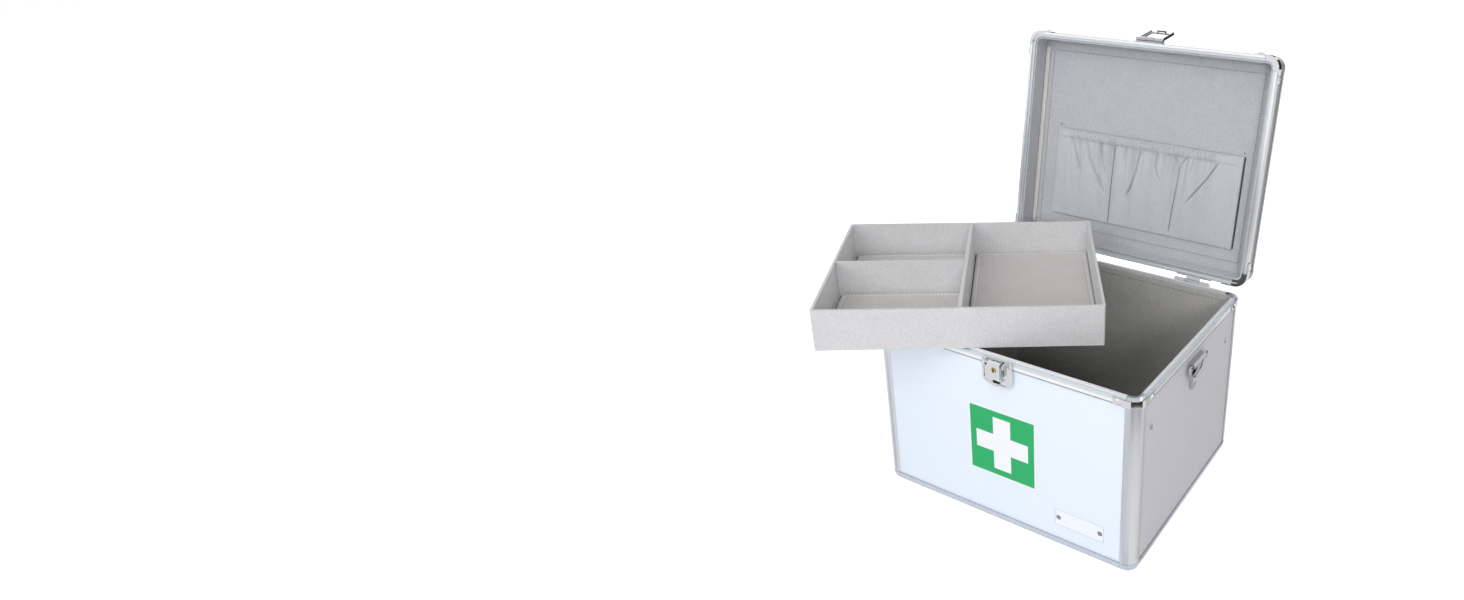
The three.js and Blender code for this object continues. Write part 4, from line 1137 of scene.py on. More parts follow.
@dataclass
class BodyShell:
    """The case's body: panels, profiles, lining, sign and plate."""

    shop: Workshop
    size: CaseSize
    sign: SignSize = SignSize()
    plate: PlateSize = PlateSize()
    rivet: PanelRivetSize = PanelRivetSize()
    hem: Stitch = Stitch()
    panel_inset: float = 0.0015
    hem_below_rim: float = 0.0105
    wide_edge: float = 0.0009
    corner_edge: float = 0.0006
    body: str = "case"

    def build(self) -> None:
        """Makes the body's own pieces and dresses its solids."""
        self.dress()
        self.build_sign()
        self.build_plate()
        self.build_rivets()
        self.build_hem()

    def dress(self) -> None:
        """Gives the body's solids their finishes."""
        for side in ("front", "back"):
            self.shop.dress(f"{side}_panel", Surface.FRONT_LAMINATE)
        for side in ("left", "right"):
            self.shop.dress(f"{side}_panel", Surface.SIDE_LAMINATE)
            self.shop.dress(f"tray_ledge_{side}", Surface.TRIM_METAL)
        self.shop.dress("base_panel", Surface.FRONT_LAMINATE)
        self.shop.dress("base_trim", Surface.TRIM_METAL)
        self.shop.dress("body_rim", Surface.RIM_METAL, self.wide_edge)
        self.shop.dress("body_liner", Surface.BODY_FELT, self.wide_edge)
        for corner in self.size.corners:
            self.shop.dress(f"corner_post_{corner}", Surface.POST_METAL)
            self.shop.dress(f"foot_cap_{corner}", Surface.TRIM_METAL)
            self.shop.dress(f"body_rim_corner_{corner}", Surface.CHROME, self.corner_edge)

    def on_panel(self, centre_x: float, below_rim: float) -> Placer:
        """Gives what places points about a spot on the front panel."""
        face = -self.size.depth / 2 + self.panel_inset
        return partial(on_front, Vector((centre_x, face, self.size.rim - below_rim)))

    def build_sign(self) -> None:
        """Makes the sign: a white film with green ink that leaves a white cross."""
        sign = self.sign
        place = self.on_panel(sign.centre_x, sign.below_rim)
        film, ink = bmesh.new(), bmesh.new()
        whole = sign.side + 2 * sign.margin
        slab(film, rounded_outline(whole, whole, sign.margin), sign.seat, sign.film, place)
        self.shop.piece("sign_film", film, Surface.SIGN_WHITE, self.body, flat=True)
        half, reach, arm = sign.side / 2, sign.cross / 2, sign.arm / 2
        corner = (
            (arm, arm), (reach, arm), (reach, 0), (half, 0),
            (half, half), (0, half), (0, reach), (arm, reach),
        )
        for across in (-1, 1):
            for up in (-1, 1):
                outline = [(across * a, up * b) for a, b in corner]
                slab(ink, outline, sign.film, sign.film + sign.ink, place)
        self.shop.piece("sign_ink", ink, Surface.SIGN_GREEN, self.body, flat=True)

    def build_plate(self) -> None:
        """Makes the bare plate and the two studs that hold it."""
        plate = self.plate
        place = self.on_panel(plate.centre_x, plate.below_rim)
        sheet = bmesh.new()
        outline = rounded_outline(plate.width, plate.height, plate.radius)
        slab(sheet, outline, plate.seat, plate.thickness, place)
        made = self.shop.piece("bare_plate", sheet, Surface.BARE_PLATE, self.body)
        self.shop.soften(made, plate.thickness / 4)
        self.build_plate_line(place)
        self.build_studs(place)

    def build_plate_line(self, place: Placer) -> None:
        """Makes the thin line round the bare plate.

        Args:
            place: Places a point about the plate's middle.
        """
        plate = self.plate
        line = bmesh.new()
        outer = (plate.width / 2 - plate.line / 2, plate.height / 2 - plate.line / 2)
        inner = (outer[0] - plate.line, outer[1] - plate.line)
        low, high = plate.thickness, plate.thickness + plate.ink
        for side in (-1, 1):
            upright = rectangle(side * inner[0], side * outer[0], -outer[1], outer[1])
            level = rectangle(-inner[0], inner[0], side * inner[1], side * outer[1])
            slab(line, upright, low, high, place)
            slab(line, level, low, high, place)
        self.shop.piece("bare_plate_line", line, Surface.PLATE_LINE, self.body, flat=True)

    def build_studs(self, place: Placer) -> None:
        """Makes the plate's slotted studs, each with a dark ring of painted shade round its foot
        and a dark bar of painted shade in its slot.

        Args:
            place: Places a point about the plate's middle.
        """
        plate = self.plate
        out = Vector((0, -1, 0))
        stud_shade_rings, studs, slot_shades = bmesh.new(), bmesh.new(), bmesh.new()
        (stud_shade_ring, rise), (long, wide) = plate.stud_shade_ring, plate.slot
        turn = (math.cos(plate.slot_turn), math.sin(plate.slot_turn))
        ends = rectangle(-long / 2, long / 2, -wide / 2, wide / 2)
        top = plate.thickness + plate.stud_height
        for side in (-1, 1):
            across = side * (plate.width / 2 - plate.stud_from_end)
            foot = place(across, 0, plate.thickness)
            dome(stud_shade_rings, foot, out, stud_shade_ring, rise)
            dome(studs, foot, out, plate.stud_radius, plate.stud_height)
            outline = [
                (across + a * turn[0] - b * turn[1], a * turn[1] + b * turn[0]) for a, b in ends
            ]
            slab(slot_shades, outline, top - plate.stud_height / 2, top + plate.ink, place)
        self.shop.piece("plate_stud_shade_rings", stud_shade_rings, Surface.SLOT, self.body)
        self.shop.piece("plate_studs", studs, Surface.FITTING_CHROME_SHADED, self.body)
        self.shop.piece("plate_stud_slot_shades", slot_shades, Surface.SLOT, self.body, flat=True)

    def build_rivets(self) -> None:
        """Makes the heads of the rivets that hold the inner ledges."""
        rivet = self.rivet
        heads = bmesh.new()
        reach = self.size.width / 2 - self.panel_inset
        front, back = -self.size.depth / 2, self.size.depth / 2
        for side in (-1, 1):
            for along in (front + rivet.from_front, back - rivet.from_back):
                foot = Vector((side * reach, along, self.size.rim - rivet.below_rim))
                dome(heads, foot, Vector((side, 0, 0)), rivet.radius, rivet.height)
        self.shop.piece("panel_rivets", heads, Surface.FITTING_CHROME_SHADED, self.body)

    def build_hem(self) -> None:
        """Sews the line round the top of the lining."""
        sewn = bmesh.new()
        x = self.size.width / 2 - self.size.wall
        y = self.size.depth / 2 - self.size.wall
        up = self.size.rim - self.hem_below_rim
        end = self.size.cell / 2
        walls = (
            ((-x + end, y), (x - end, y), Vector((0, -1, 0))),
            ((x, y - end), (x, -y + end), Vector((-1, 0, 0))),
            ((x - end, -y), (-x + end, -y), Vector((0, 1, 0))),
            ((-x, -y + end), (-x, y - end), Vector((1, 0, 0))),
        )
        for start, finish, out in walls:
            self.hem.sew(sewn, [Vector((*start, up)), Vector((*finish, up))], out)
        self.shop.piece("lining_hem", sewn, Surface.HEM_THREAD_AND_SHADE, self.body)


@dataclass(frozen=True)
class HingeRivetSize:
    """The rivets of the hinge leaves, on the closed case."""

    centre_x: float = 0.096
    apart: float = 0.030
    face_y: float = 0.1335
    body_z: float = 0.1915
    lid_z: float = 0.2248
    radius: float = 0.0023
    height: float = 0.0009


@dataclass(frozen=True)
class BracketRivetSize:
    """The rivets of the handle's brackets, on the closed lid."""

    centre_x: float = 0.0482
    from_pivot: float = 0.0085
    face_z: float = 0.2473
    radius: float = 0.0020
    height: float = 0.0007


@dataclass
class Hardware:
    """The lock, hinges, strap rings, hasp and handle."""

    shop: Workshop
    hinge: HingeRivetSize = HingeRivetSize()
    bracket: BracketRivetSize = BracketRivetSize()
    # A dark plate of painted shade over the key's slot: its size, corners and depths.
    keyway_shade: Span = (0.0021, 0.0043)
    keyway_shade_round: float = 0.0008
    keyway_shade_depths: Span = (-0.0004, 0.00012)
    fitting_edge: float = 0.0003
    cylinder_edge: float = 0.0002
    grip_edge: float = 0.0005

    def build(self) -> None:
        """Dresses the hardware and rivets it."""
        self.dress()
        self.build_keyway_shade()
        self.build_hinge_rivets()
        self.build_bracket_rivets()

    def dress(self) -> None:
        """Gives the hardware's solids their finishes."""
        for node in ("lock_plate", "lock_lever", "lock_tongue"):
            self.shop.dress(node, Surface.CHROME, self.fitting_edge)
        for node in ("hasp_plate", "hasp_frame"):
            self.shop.dress(node, Surface.FITTING_CHROME_SHADED, self.fitting_edge)
        for kind in (
            "handle_bracket", "ring_bracket", "carry_ring", "body_hinge_leaf", "lid_hinge_leaf"
        ):
            for side in ("left", "right"):
                self.shop.dress(f"{kind}_{side}", Surface.FITTING_CHROME_SHADED, self.fitting_edge)
        self.shop.dress("key_cylinder", Surface.BRASS, self.cylinder_edge)
        self.shop.dress("lock_spring", Surface.SPRING_STEEL, 0.0)
        self.shop.dress("handle_bow", Surface.GRIP, self.grip_edge)

    def build_keyway_shade(self) -> None:
        """Makes a dark plate over the brass cylinder's slot: painted shade for the keyhole."""
        low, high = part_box("key_cylinder")
        middle = (low + high) / 2
        place = partial(on_front, Vector((middle.x, low.y, middle.z)))
        slot = bmesh.new()
        slab(slot, rounded_outline(*self.keyway_shade, self.keyway_shade_round), *self.keyway_shade_depths, place)
        self.shop.piece("keyway_shade", slot, Surface.SLOT, "key", flat=True)

    def build_hinge_rivets(self) -> None:
        """Makes the rivet heads of the hinge leaves."""
        hinge = self.hinge
        still, opened = Matrix.Identity(4), lid_turn()
        for body, up, turn in (("case", hinge.body_z, still), ("lid", hinge.lid_z, opened)):
            heads = bmesh.new()
            out = turn.to_3x3() @ Vector((0, 1, 0))
            for side in (-1, 1):
                for end in (-1, 1):
                    foot = Vector((side * hinge.centre_x + end * hinge.apart / 2, hinge.face_y, up))
                    dome(heads, turn @ foot, out, hinge.radius, hinge.height)
            self.shop.piece(f"{body}_hinge_rivets", heads, Surface.FITTING_CHROME_SHADED, body)

    def build_bracket_rivets(self) -> None:
        """Makes the rivet heads of the handle's brackets."""
        bracket = self.bracket
        opened = lid_turn()
        out = opened.to_3x3() @ Vector((0, 0, 1))
        heads = bmesh.new()
        for side in (-1, 1):
            for end in (-1, 1):
                foot = Vector((side * bracket.centre_x, end * bracket.from_pivot, bracket.face_z))
                dome(heads, opened @ foot, out, bracket.radius, bracket.height)
        self.shop.piece("handle_bracket_rivets", heads, Surface.CHROME, "lid")


@dataclass(frozen=True)
class Crease:
    """A sharp fold in the pocket: its line in shares of the width and of the height."""

    line_shares: tuple[Point2, ...]
    width: float
    depth: float
    # How much painted shade darkens the crease.
    darkness: float

    seam_foot: ClassVar[float] = 0.05
    seam_fade: ClassVar[float] = 0.04
    cloth_fade: ClassVar[float] = 0.10
    head_fade: ClassVar[float] = 0.03
    head_start: ClassVar[float] = 0.4

    def at(self, across: float, up: float) -> float:
        """Gives how deep the crease is at a place.

        Args:
            across: The share of the pocket's width.
            up: The share of its height.

        Returns:
            The depth.
        """
        top, foot = self.line_shares[0][1], self.line_shares[-1][1]
        if not foot <= up <= top:
            return 0.0
        fade = self.seam_fade if foot <= self.seam_foot else self.cloth_fade
        for (a0, u0), (a1, u1) in zip(self.line_shares, self.line_shares[1:]):
            if u1 <= up <= u0:
                middle = a1 + (a0 - a1) * (up - u1) / (u0 - u1)
                ends = min(1.0, (up - foot) / fade, (top - up) / self.head_fade + self.head_start)
                away = (across - middle) / self.width
                return self.depth * max(0.0, ends) * math.exp(-(away**2))
        return 0.0


@dataclass(frozen=True)
class Pleats:
    """A family of soft pleats that hang from the band and fade below it."""

    count: float
    depth: float
    fade: float
    start: float

    drift: ClassVar[float] = 1.05
    drift_rate: ClassVar[float] = 1.7
    drift_start: ClassVar[float] = 3.0
    swing: ClassVar[float] = 0.35
    swing_rate: ClassVar[float] = 2.3
    swing_start: ClassVar[float] = 5.0
    fade_power: ClassVar[float] = 1.4

    def at(self, across: float, below: float) -> float:
        """Gives the pleats' height at a place.

        Args:
            across: The share of the pocket's width, fanned out.
            below: The distance below the band.

        Returns:
            The height.
        """
        turn = self.count * across
        drift = self.drift * math.sin(self.drift_rate * turn + self.start * self.drift_start)
        wave = math.sin(math.tau * turn + self.start + drift)
        swing = math.sin(self.swing_rate * turn + self.start * self.swing_start)
        loud = 1 - self.swing + self.swing * swing
        return self.depth * loud * wave * math.exp(-((below / self.fade) ** self.fade_power))


@dataclass(frozen=True)
class PocketSize:
    """The gathered pocket inside the lid, in the closed lid's own directions."""

    left: float = -0.12255
    right: float = 0.12895
    hinge_edge: float = 0.035
    mouth_edge: float = 0.147
    stand_off: float = 0.0009
    bulge: float = 0.0072
    band: float = 0.0122
    band_rise: float = 0.0022
    rib_pitch: float = 0.0031
    rib_depth: float = 0.0019
    ribbed_shares: Span = (0.07, 0.88)
    ribbed_fade: float = 0.02
    loose_edge: float = 0.0022
    seam_shares: tuple[float, ...] = (0.0, 0.332, 0.677, 1.0)
    flat: tuple[float, float] = (0.275, 0.118)
    thickness: float = 0.0005
    columns: int = 560
    rows: int = 110
    # Each crease's line from the mouth down, then its width, depth and the darkness of its painted
    # shade.
    creases: tuple[Crease, ...] = (
        Crease(((0.332, 1.0), (0.331, 0.5), (0.334, 0.0)), 0.0034, 0.0055, 1.0),
        Crease(((0.318, 1.0), (0.331, 0.90)), 0.0040, 0.0022, 0.4),
        Crease(((0.690, 0.89), (0.684, 0.63), (0.675, 0.34), (0.670, 0.05)), 0.0034, 0.0055, 0.9),
        Crease(((0.655, 1.0), (0.690, 0.88)), 0.0040, 0.0040, 0.6),
        Crease(((0.720, 1.0), (0.690, 0.88)), 0.0040, 0.0040, 0.6),
        Crease(((0.882, 1.0), (0.838, 0.79), (0.781, 0.59), (0.735, 0.42)), 0.0050, 0.0036, 0.34),
        Crease(((0.482, 1.0), (0.470, 0.73), (0.447, 0.53), (0.418, 0.36)), 0.0055, 0.0034, 0.22),
        Crease(((0.101, 1.0), (0.128, 0.79), (0.164, 0.58)), 0.0075, 0.0030, 0.18),
        Crease(((0.176, 1.0), (0.205, 0.80), (0.247, 0.61), (0.302, 0.37)), 0.0080, 0.0032, 0.18),
        Crease(((0.566, 1.0), (0.569, 0.82), (0.600, 0.66)), 0.0060, 0.0030, 0.22),
        Crease(((0.255, 1.0), (0.275, 0.80), (0.300, 0.62)), 0.0055, 0.0016, 0.22),
        Crease(((0.400, 1.0), (0.392, 0.80)), 0.0055, 0.0016, 0.22),
        Crease(((0.765, 1.0), (0.752, 0.80)), 0.0055, 0.0016, 0.22),
    )
    pleats: tuple[Pleats, ...] = (
        Pleats(34.0, 0.00130, 0.020, 0.4),
        Pleats(17.0, 0.00200, 0.046, 1.9),
        Pleats(7.5, 0.00190, 0.090, 4.1),
    )

    @property
    def height(self) -> float:
        """Gives the distance from the hinge edge to the mouth."""
        return self.mouth_edge - self.hinge_edge

    @property
    def band_start(self) -> float:
        """Gives the share of the height at which the elastic band starts."""
        return 1 - self.band / self.height

    def rib(self, across: float) -> float:
        """Gives how high the band's ribs are at a share of the width, from 0 to 1."""
        return abs(math.sin(math.pi * across * (self.right - self.left) / self.rib_pitch))

    def gathering(self, across: float) -> float:
        """Gives how gathered the cloth is, down to 0 at the plain ends.

        Args:
            across: The share of the width.

        Returns:
            How gathered it is, up to 1.
        """
        start, end = self.ribbed_shares
        return max(
            0.0, min(1.0, (across - start) / self.ribbed_fade, (end - across) / self.ribbed_fade)
        )


@dataclass(frozen=True)
class ClothForm:
    """How the pocket's cloth arches, hangs and gathers, in shares of its width and height."""

    fan: float = 0.10
    arch_power: float = 0.5
    belly_reach: float = 0.66
    belly_power: float = 0.75
    belly_drop: float = 0.30
    belly_drop_power: int = 4
    side_share: float = 0.05
    loose_share: float = 0.03
    fold_foot: float = 0.15
    cloth_in_band: float = 0.75
    band_fade_power: float = 0.6
    tuck_share: float = 0.16
    tuck_depth: float = 0.6
    hem_power: float = 0.35


@dataclass(frozen=True)
class ClothShadow:
    """How much painted shade darkens the pocket's cloth in its folds and between the band's ribs,
    and how much darker it is along its stitched rows.
    """

    full_fold: float = 0.0030
    pleats: float = 0.22
    ribs: float = 0.55
    rib_power: float = 2.5
    rib_fade_power: float = 0.5
    rows: float = 0.12
    row_shares: tuple[float, ...] = (0.04, 0.80)
    row_width: float = 0.07


@dataclass(frozen=True)
class TrimmingSize:
    """The dark strip of painted shadow by the pocket, the pocket's tacks, and the lining's piping,
    from the lining's flat face.
    """

    # A dark strip of painted shadow in the gap by the pocket's loose right edge.
    shadow_strip_gap: float = 0.0002
    shadow_strip_width: float = 0.0016
    shadow_strip_foot: float = 0.0010
    shadow_strip_depths: Span = (0.00005, 0.0007)
    shadow_strip_edge: float = 0.0002
    tack_insets: Span = (0.0022, 0.0010)
    tack_above: float = 0.0042
    tack_radius: float = 0.0009
    tack_height: float = 0.0007
    piping_width: float = 0.0058
    piping_height: float = 0.0021
    piping_gap: float = 0.0003
    piping_seat: float = 0.0001
    piping_power: float = 0.7
    piping_sides: int = 16
    piping_steps: int = 40


@dataclass
class LidShell:
    """The lid: panels, profiles, lining and pocket."""

    shop: Workshop
    size: CaseSize
    pocket: PocketSize = PocketSize()
    form: ClothForm = ClothForm()
    shading: ClothShadow = ClothShadow()
    trimming: TrimmingSize = TrimmingSize()
    pocket_stitch: Stitch = Stitch(pitch=0.0032, length=0.0021, thickness=0.0008)
    lining_stitch: Stitch = Stitch(pitch=0.0036, length=0.0024, thickness=0.0008)
    liner_depth: float = 0.0083
    pocket_seam_inset: float = 0.0022
    lining_seam_inset: float = 0.0205
    stitch_lift: float = 0.0003
    wide_edge: float = 0.0009
    corner_edge: float = 0.0006
    body: str = "lid"

    def __post_init__(self) -> None:
        """Works out the closed lid's place and its turn into the open one."""
        self.opened = lid_turn()
        closed = self.opened.inverted()
        panel = frame["nodes"]["lid_top_panel"]
        self.top = max((closed @ vertex.co).z for vertex in panel.data.vertices)
        self.inward = (self.place(0, 0, 1) - self.place(0, 0, 0)).normalized()

    def place(self, across: float, from_hinge: float, off_liner: float) -> Vector:
        """Places a point in the open lid, from its middle, its hinge edge and the liner's face."""
        closed = (across, self.size.depth / 2 - from_hinge, self.top - self.liner_depth - off_liner)
        return self.opened @ Vector(closed)

    def build(self) -> None:
        """Makes the lid's own pieces and dresses its solids."""
        self.dress()
        self.build_pocket()
        self.build_pocket_stitches()
        self.build_shadow_strip()
        self.build_tacks()
        self.build_lining_seams()
        self.build_piping()

    def dress(self) -> None:
        """Gives the lid's solids their finishes."""
        self.shop.dress("lid_top_panel", Surface.FRONT_LAMINATE)
        self.shop.dress("lid_side_band", Surface.LID_LAMINATE_SHADED)
        self.shop.dress("lid_trim", Surface.LID_METAL)
        self.shop.dress("lid_rim", Surface.LID_RIM_METAL, self.wide_edge)
        self.shop.dress("lid_liner", Surface.LID_FELT_COOL_LIT, self.wide_edge)
        for corner in self.size.corners:
            self.shop.dress(f"lid_corner_{corner}", Surface.CAP_METAL)
            self.shop.dress(f"lid_rim_corner_{corner}", Surface.CHROME, self.corner_edge)

    def pleated(self, across: float, up: float) -> float:
        """Gives the height of all the soft pleats together, which fan out below the band.

        Args:
            across: The share of the pocket's width.
            up: The share of its height, from the hinge side.

        Returns:
            The height.
        """
        pocket = self.pocket
        below = max(0.0, (pocket.band_start - up) * pocket.height)
        fanned = across + self.form.fan * (across - 0.5) * below / pocket.height
        return sum(pleat.at(fanned, below) for pleat in pocket.pleats)

    def rise(self, across: float, up: float) -> float:
        """Gives how far the pocket's cloth stands off the liner.

        Args:
            across: The share of the pocket's width.
            up: The share of its height, from the hinge side.

        Returns:
            The stand-off.
        """
        pocket, form = self.pocket, self.form
        seams = pocket.seam_shares
        index = max(i for i, share in enumerate(seams[:-1]) if across >= share)
        within = (across - seams[index]) / (seams[index + 1] - seams[index])
        arch = math.sin(math.pi * min(1.0, within)) ** form.arch_power
        low = min(1.0, up / pocket.band_start)
        drop = 1 - form.belly_drop * low**form.belly_drop_power
        belly = math.sin(math.pi * low * form.belly_reach) ** form.belly_power * drop
        edge = min(1.0, across / form.side_share, (1 - across) / form.side_share)
        gathered = pocket.gathering(across)
        folds = gathered * self.pleated(across, up)
        folds -= sum(crease.at(across, low) for crease in pocket.creases)
        loose = pocket.loose_edge * max(0.0, 1 - (1 - across) / form.loose_share)
        cloth = pocket.bulge * arch * belly + edge * folds * min(1.0, low / form.fold_foot) + loose
        cloth = max(0.0, cloth)
        if up <= pocket.band_start:
            return pocket.stand_off + cloth
        share = (up - pocket.band_start) / (1 - pocket.band_start)
        hem = math.sin(math.pi * min(1.0, share)) ** form.hem_power
        band = (pocket.band_rise * edge + pocket.rib_depth * gathered * pocket.rib(across)) * hem
        tucked = 1 - form.tuck_depth * math.exp(-((share / form.tuck_share) ** 2))
        fading = form.cloth_in_band * (1 - share) ** form.band_fade_power
        return pocket.stand_off + cloth * fading + loose * share + band * tucked

    def shadow(self, across: float, up: float) -> float:
        """Gives how much painted shade the folds put on the cloth at a place, and how much darker
        the band's stitched rows are.

        Args:
            across: The share of the pocket's width.
            up: The share of its height, from the hinge side.

        Returns:
            0 on open cloth, up to 1 in the deepest crease.
        """
        pocket, shading = self.pocket, self.shading
        gathered = pocket.gathering(across)
        if up > pocket.band_start:
            share = (up - pocket.band_start) / (1 - pocket.band_start)
            apart = [(share - row) / shading.row_width for row in shading.row_shares]
            rows = sum(math.exp(-(distance**2)) for distance in apart)
            fading = math.sin(math.pi * share) ** shading.rib_fade_power
            gap = gathered * (1 - pocket.rib(across)) ** shading.rib_power * fading
            return shading.ribs * gap + shading.rows * min(1.0, rows)
        low = min(1.0, up / pocket.band_start)
        hollow = max(0.0, -self.pleated(across, up) / shading.full_fold)
        creased = sum(fold.darkness * fold.at(across, low) / fold.depth for fold in pocket.creases)
        return min(1.0, shading.pleats * gathered * hollow + creased)

    def build_pocket(self) -> None:
        """Makes the pocket as one gathered sheet of cloth."""
        pocket = self.pocket
        cloth = bmesh.new()
        folds = cloth.verts.layers.float.new("fold")
        grid = []
        for row in range(pocket.rows + 1):
            up = row / pocket.rows
            from_hinge = pocket.hinge_edge + pocket.height * up
            line = []
            for column in range(pocket.columns + 1):
                share = column / pocket.columns
                across = pocket.left + (pocket.right - pocket.left) * share
                line.append(cloth.verts.new(self.place(across, from_hinge, self.rise(share, up))))
                # Each point keeps how much painted shade its cloth gets.
                line[-1][folds] = self.shadow(share, up)
            grid.append(line)
        span_rows(cloth, grid)
        made = self.shop.piece("gathered_pocket", cloth, Surface.POCKET_CLOTH, self.body)
        thick = made.modifiers.new("Cloth thickness", "SOLIDIFY")
        thick.thickness = pocket.thickness
        thick.offset = -1.0
        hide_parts("lid_pocket")

    def build_pocket_stitches(self) -> None:
        """Sews the pocket's sides and foot."""
        pocket, inset = self.pocket, self.pocket_seam_inset
        left, right = pocket.left + inset, pocket.right - inset
        foot, mouth = pocket.hinge_edge + inset, pocket.mouth_edge
        path = [(left, mouth), (left, foot), (right, foot), (right, mouth)]
        self.sew("pocket_stitches", self.pocket_stitch, path, pocket.stand_off + self.stitch_lift)

    def build_lining_seams(self) -> None:
        """Sews the line round the lid's flat lining."""
        x = self.size.width / 2 - self.lining_seam_inset
        near, far = self.lining_seam_inset, self.size.depth - self.lining_seam_inset
        path = [(-x, near), (-x, far), (x, far), (x, near), (-x, near)]
        self.sew("lid_lining_stitches", self.lining_stitch, path, self.stitch_lift)

    def sew(self, name: str, stitch: Stitch, path: Sequence[Point2], off_liner: float) -> None:
        """Sews a line on the lining.

        Args:
            name: The piece's name.
            stitch: The stitches' size.
            path: The line's corners, across and from the hinge.
            off_liner: How far the line stands off the liner.
        """
        sewn = bmesh.new()
        stitch.sew(sewn, [self.place(a, b, off_liner) for a, b in path], self.inward)
        self.shop.piece(name, sewn, Surface.LID_THREAD_AND_SHADE, self.body)

    def build_shadow_strip(self) -> None:
        """Makes a dark strip of painted shadow in the gap along the pocket's right edge."""
        pocket, size = self.pocket, self.trimming
        shadow_strip = bmesh.new()
        left = pocket.right + size.shadow_strip_gap
        foot = pocket.hinge_edge + size.shadow_strip_foot
        outline = rectangle(left, left + size.shadow_strip_width, foot, pocket.mouth_edge)
        slab(shadow_strip, outline, *size.shadow_strip_depths, self.place)
        made = self.shop.piece("pocket_edge_shadow_strip", shadow_strip, Surface.DARK_THREAD_AND_SHADE, self.body)
        self.shop.soften(made, size.shadow_strip_edge)

    def build_tacks(self) -> None:
        """Makes the two dark thread tacks above the pocket's corners."""
        pocket, size = self.pocket, self.trimming
        tacks = bmesh.new()
        for across in (pocket.left + size.tack_insets[0], pocket.right - size.tack_insets[1]):
            foot = self.place(across, pocket.mouth_edge + size.tack_above, 0.0)
            dome(tacks, foot, self.inward, size.tack_radius, size.tack_height)
        self.shop.piece("pocket_tacks", tacks, Surface.DARK_THREAD_AND_SHADE, self.body)

    def build_piping(self) -> None:
        """Makes the felt piping in the two side corners of the lining."""
        size = self.trimming
        piping = bmesh.new()
        reach = self.size.width / 2 - self.liner_depth - size.piping_gap - size.piping_width / 2
        near, far = self.size.cell, self.size.depth - self.size.cell
        section = []
        for turn in range(size.piping_sides):
            angle = math.tau * turn / size.piping_sides
            round_x, round_z = (
                math.copysign(abs(part) ** size.piping_power, part)
                for part in (math.cos(angle), math.sin(angle))
            )
            height = size.piping_seat + size.piping_height / 2 * (1 + round_z)
            section.append((reach - size.piping_width / 2 * round_x, height))
        for side in (-1, 1):
            rings = []
            for step in range(size.piping_steps + 1):
                along = near + (far - near) * step / size.piping_steps
                rings.append(
                    [piping.verts.new(self.place(side * a, along, up)) for a, up in section]
                )
            loft(piping, rings)
        self.shop.piece("lid_lining_piping", piping, Surface.PIPING_FELT, self.body)


@dataclass(frozen=True)
class TraySize:
    """The tray's sizes, in its own turned directions."""

    width: float = 0.295
    depth: float = 0.2325
    wall: float = 0.003
    floor: float = 0.003
    turn: float = math.radians(33.1)
    divider: float = 0.004
    divider_x: float = 0.0005
    divider_y: float = 0.004
    pad_side: float = 0.0006
    pad_gap: float = 0.0030
    seam_lift: float = 0.0001
    # A dark strip of painted shade lies in the gap on each pad's left.
    shade_strip_width: float = 0.0013
    shade_strip_clear: float = 0.0003
    shade_strip_height: float = 0.0003
    wide_edge: float = 0.0009


@dataclass(frozen=True)
class Room:
    """A flat room in the tray, or the pad in it, by its four sides."""

    left: float
    right: float
    front: float
    back: float

    def inset(self, by: float) -> "Room":
        """Gives the same room with every side moved in."""
        return Room(self.left + by, self.right - by, self.front + by, self.back - by)


@dataclass(frozen=True)
class PadForm:
    """A sewn floor pad: a crowned top with a seam near its rolled edge, and a faint ripple."""

    room: Room
    name: str
    base: float
    thickness: float = 0.0026
    crown: float = 0.0011
    edge_share: float = 0.45
    roll: float = 0.0022
    seam_inset: float = 0.0045
    seam_depth: float = 0.0009
    seam_width: float = 0.0012
    ripple: float = 0.00012
    ripple_count: int = 5
    ripple_rates: Span = (10, 34)
    border: float = 0.0090
    border_lines: int = 18
    inner_lines: int = 24

    def ripples(self) -> list[Point3]:
        """Draws the ripples by chance, always the same for a pad's name.

        Returns:
            Each ripple's rate, direction and start.
        """
        chance = random.Random(self.name)
        return [
            (
                chance.uniform(*self.ripple_rates),
                chance.uniform(0, math.tau),
                chance.uniform(0, math.tau),
            )
            for _ in range(self.ripple_count)
        ]

    def top(self, ripples: Sequence[Point3], x: float, y: float) -> float:
        """Gives the height of the pad's top at a place.

        Args:
            ripples: The pad's ripples.
            x: How far the place is to the tray's right.
            y: How far it is to the tray's back.

        Returns:
            The height above the tray's underside.
        """
        room = self.room
        edge = min(x - room.left, room.right - x, y - room.front, room.back - y)
        roll = math.sqrt(max(0.0, 1 - (1 - min(1.0, edge / self.roll)) ** 2))
        seam = self.seam_depth * math.exp(-(((edge - self.seam_inset) / self.seam_width) ** 2))
        u = (x - room.left) / (room.right - room.left)
        v = (y - room.front) / (room.back - room.front)
        crown = self.crown * math.sin(math.pi * u) * math.sin(math.pi * v)
        wave = 0.0
        for rate, way, start in ripples:
            wave += math.sin(rate * (x * math.cos(way) + y * math.sin(way)) + start)
        body = self.thickness * (self.edge_share + (1 - self.edge_share) * roll)
        return self.base + body + (crown - seam + self.ripple * wave) * roll

    def stations(self, low: float, high: float) -> list[float]:
        """Spaces grid lines closely near the sewn border and widely inside it.

        Args:
            low: The pad's start.
            high: The pad's end.

        Returns:
            The grid lines' places.
        """
        fine = [self.border * i / self.border_lines for i in range(self.border_lines)]
        inside = high - low - 2 * self.border
        inner = [
            low + self.border + inside * i / self.inner_lines for i in range(self.inner_lines + 1)
        ]
        return [low + step for step in fine] + inner + [high - step for step in reversed(fine)]


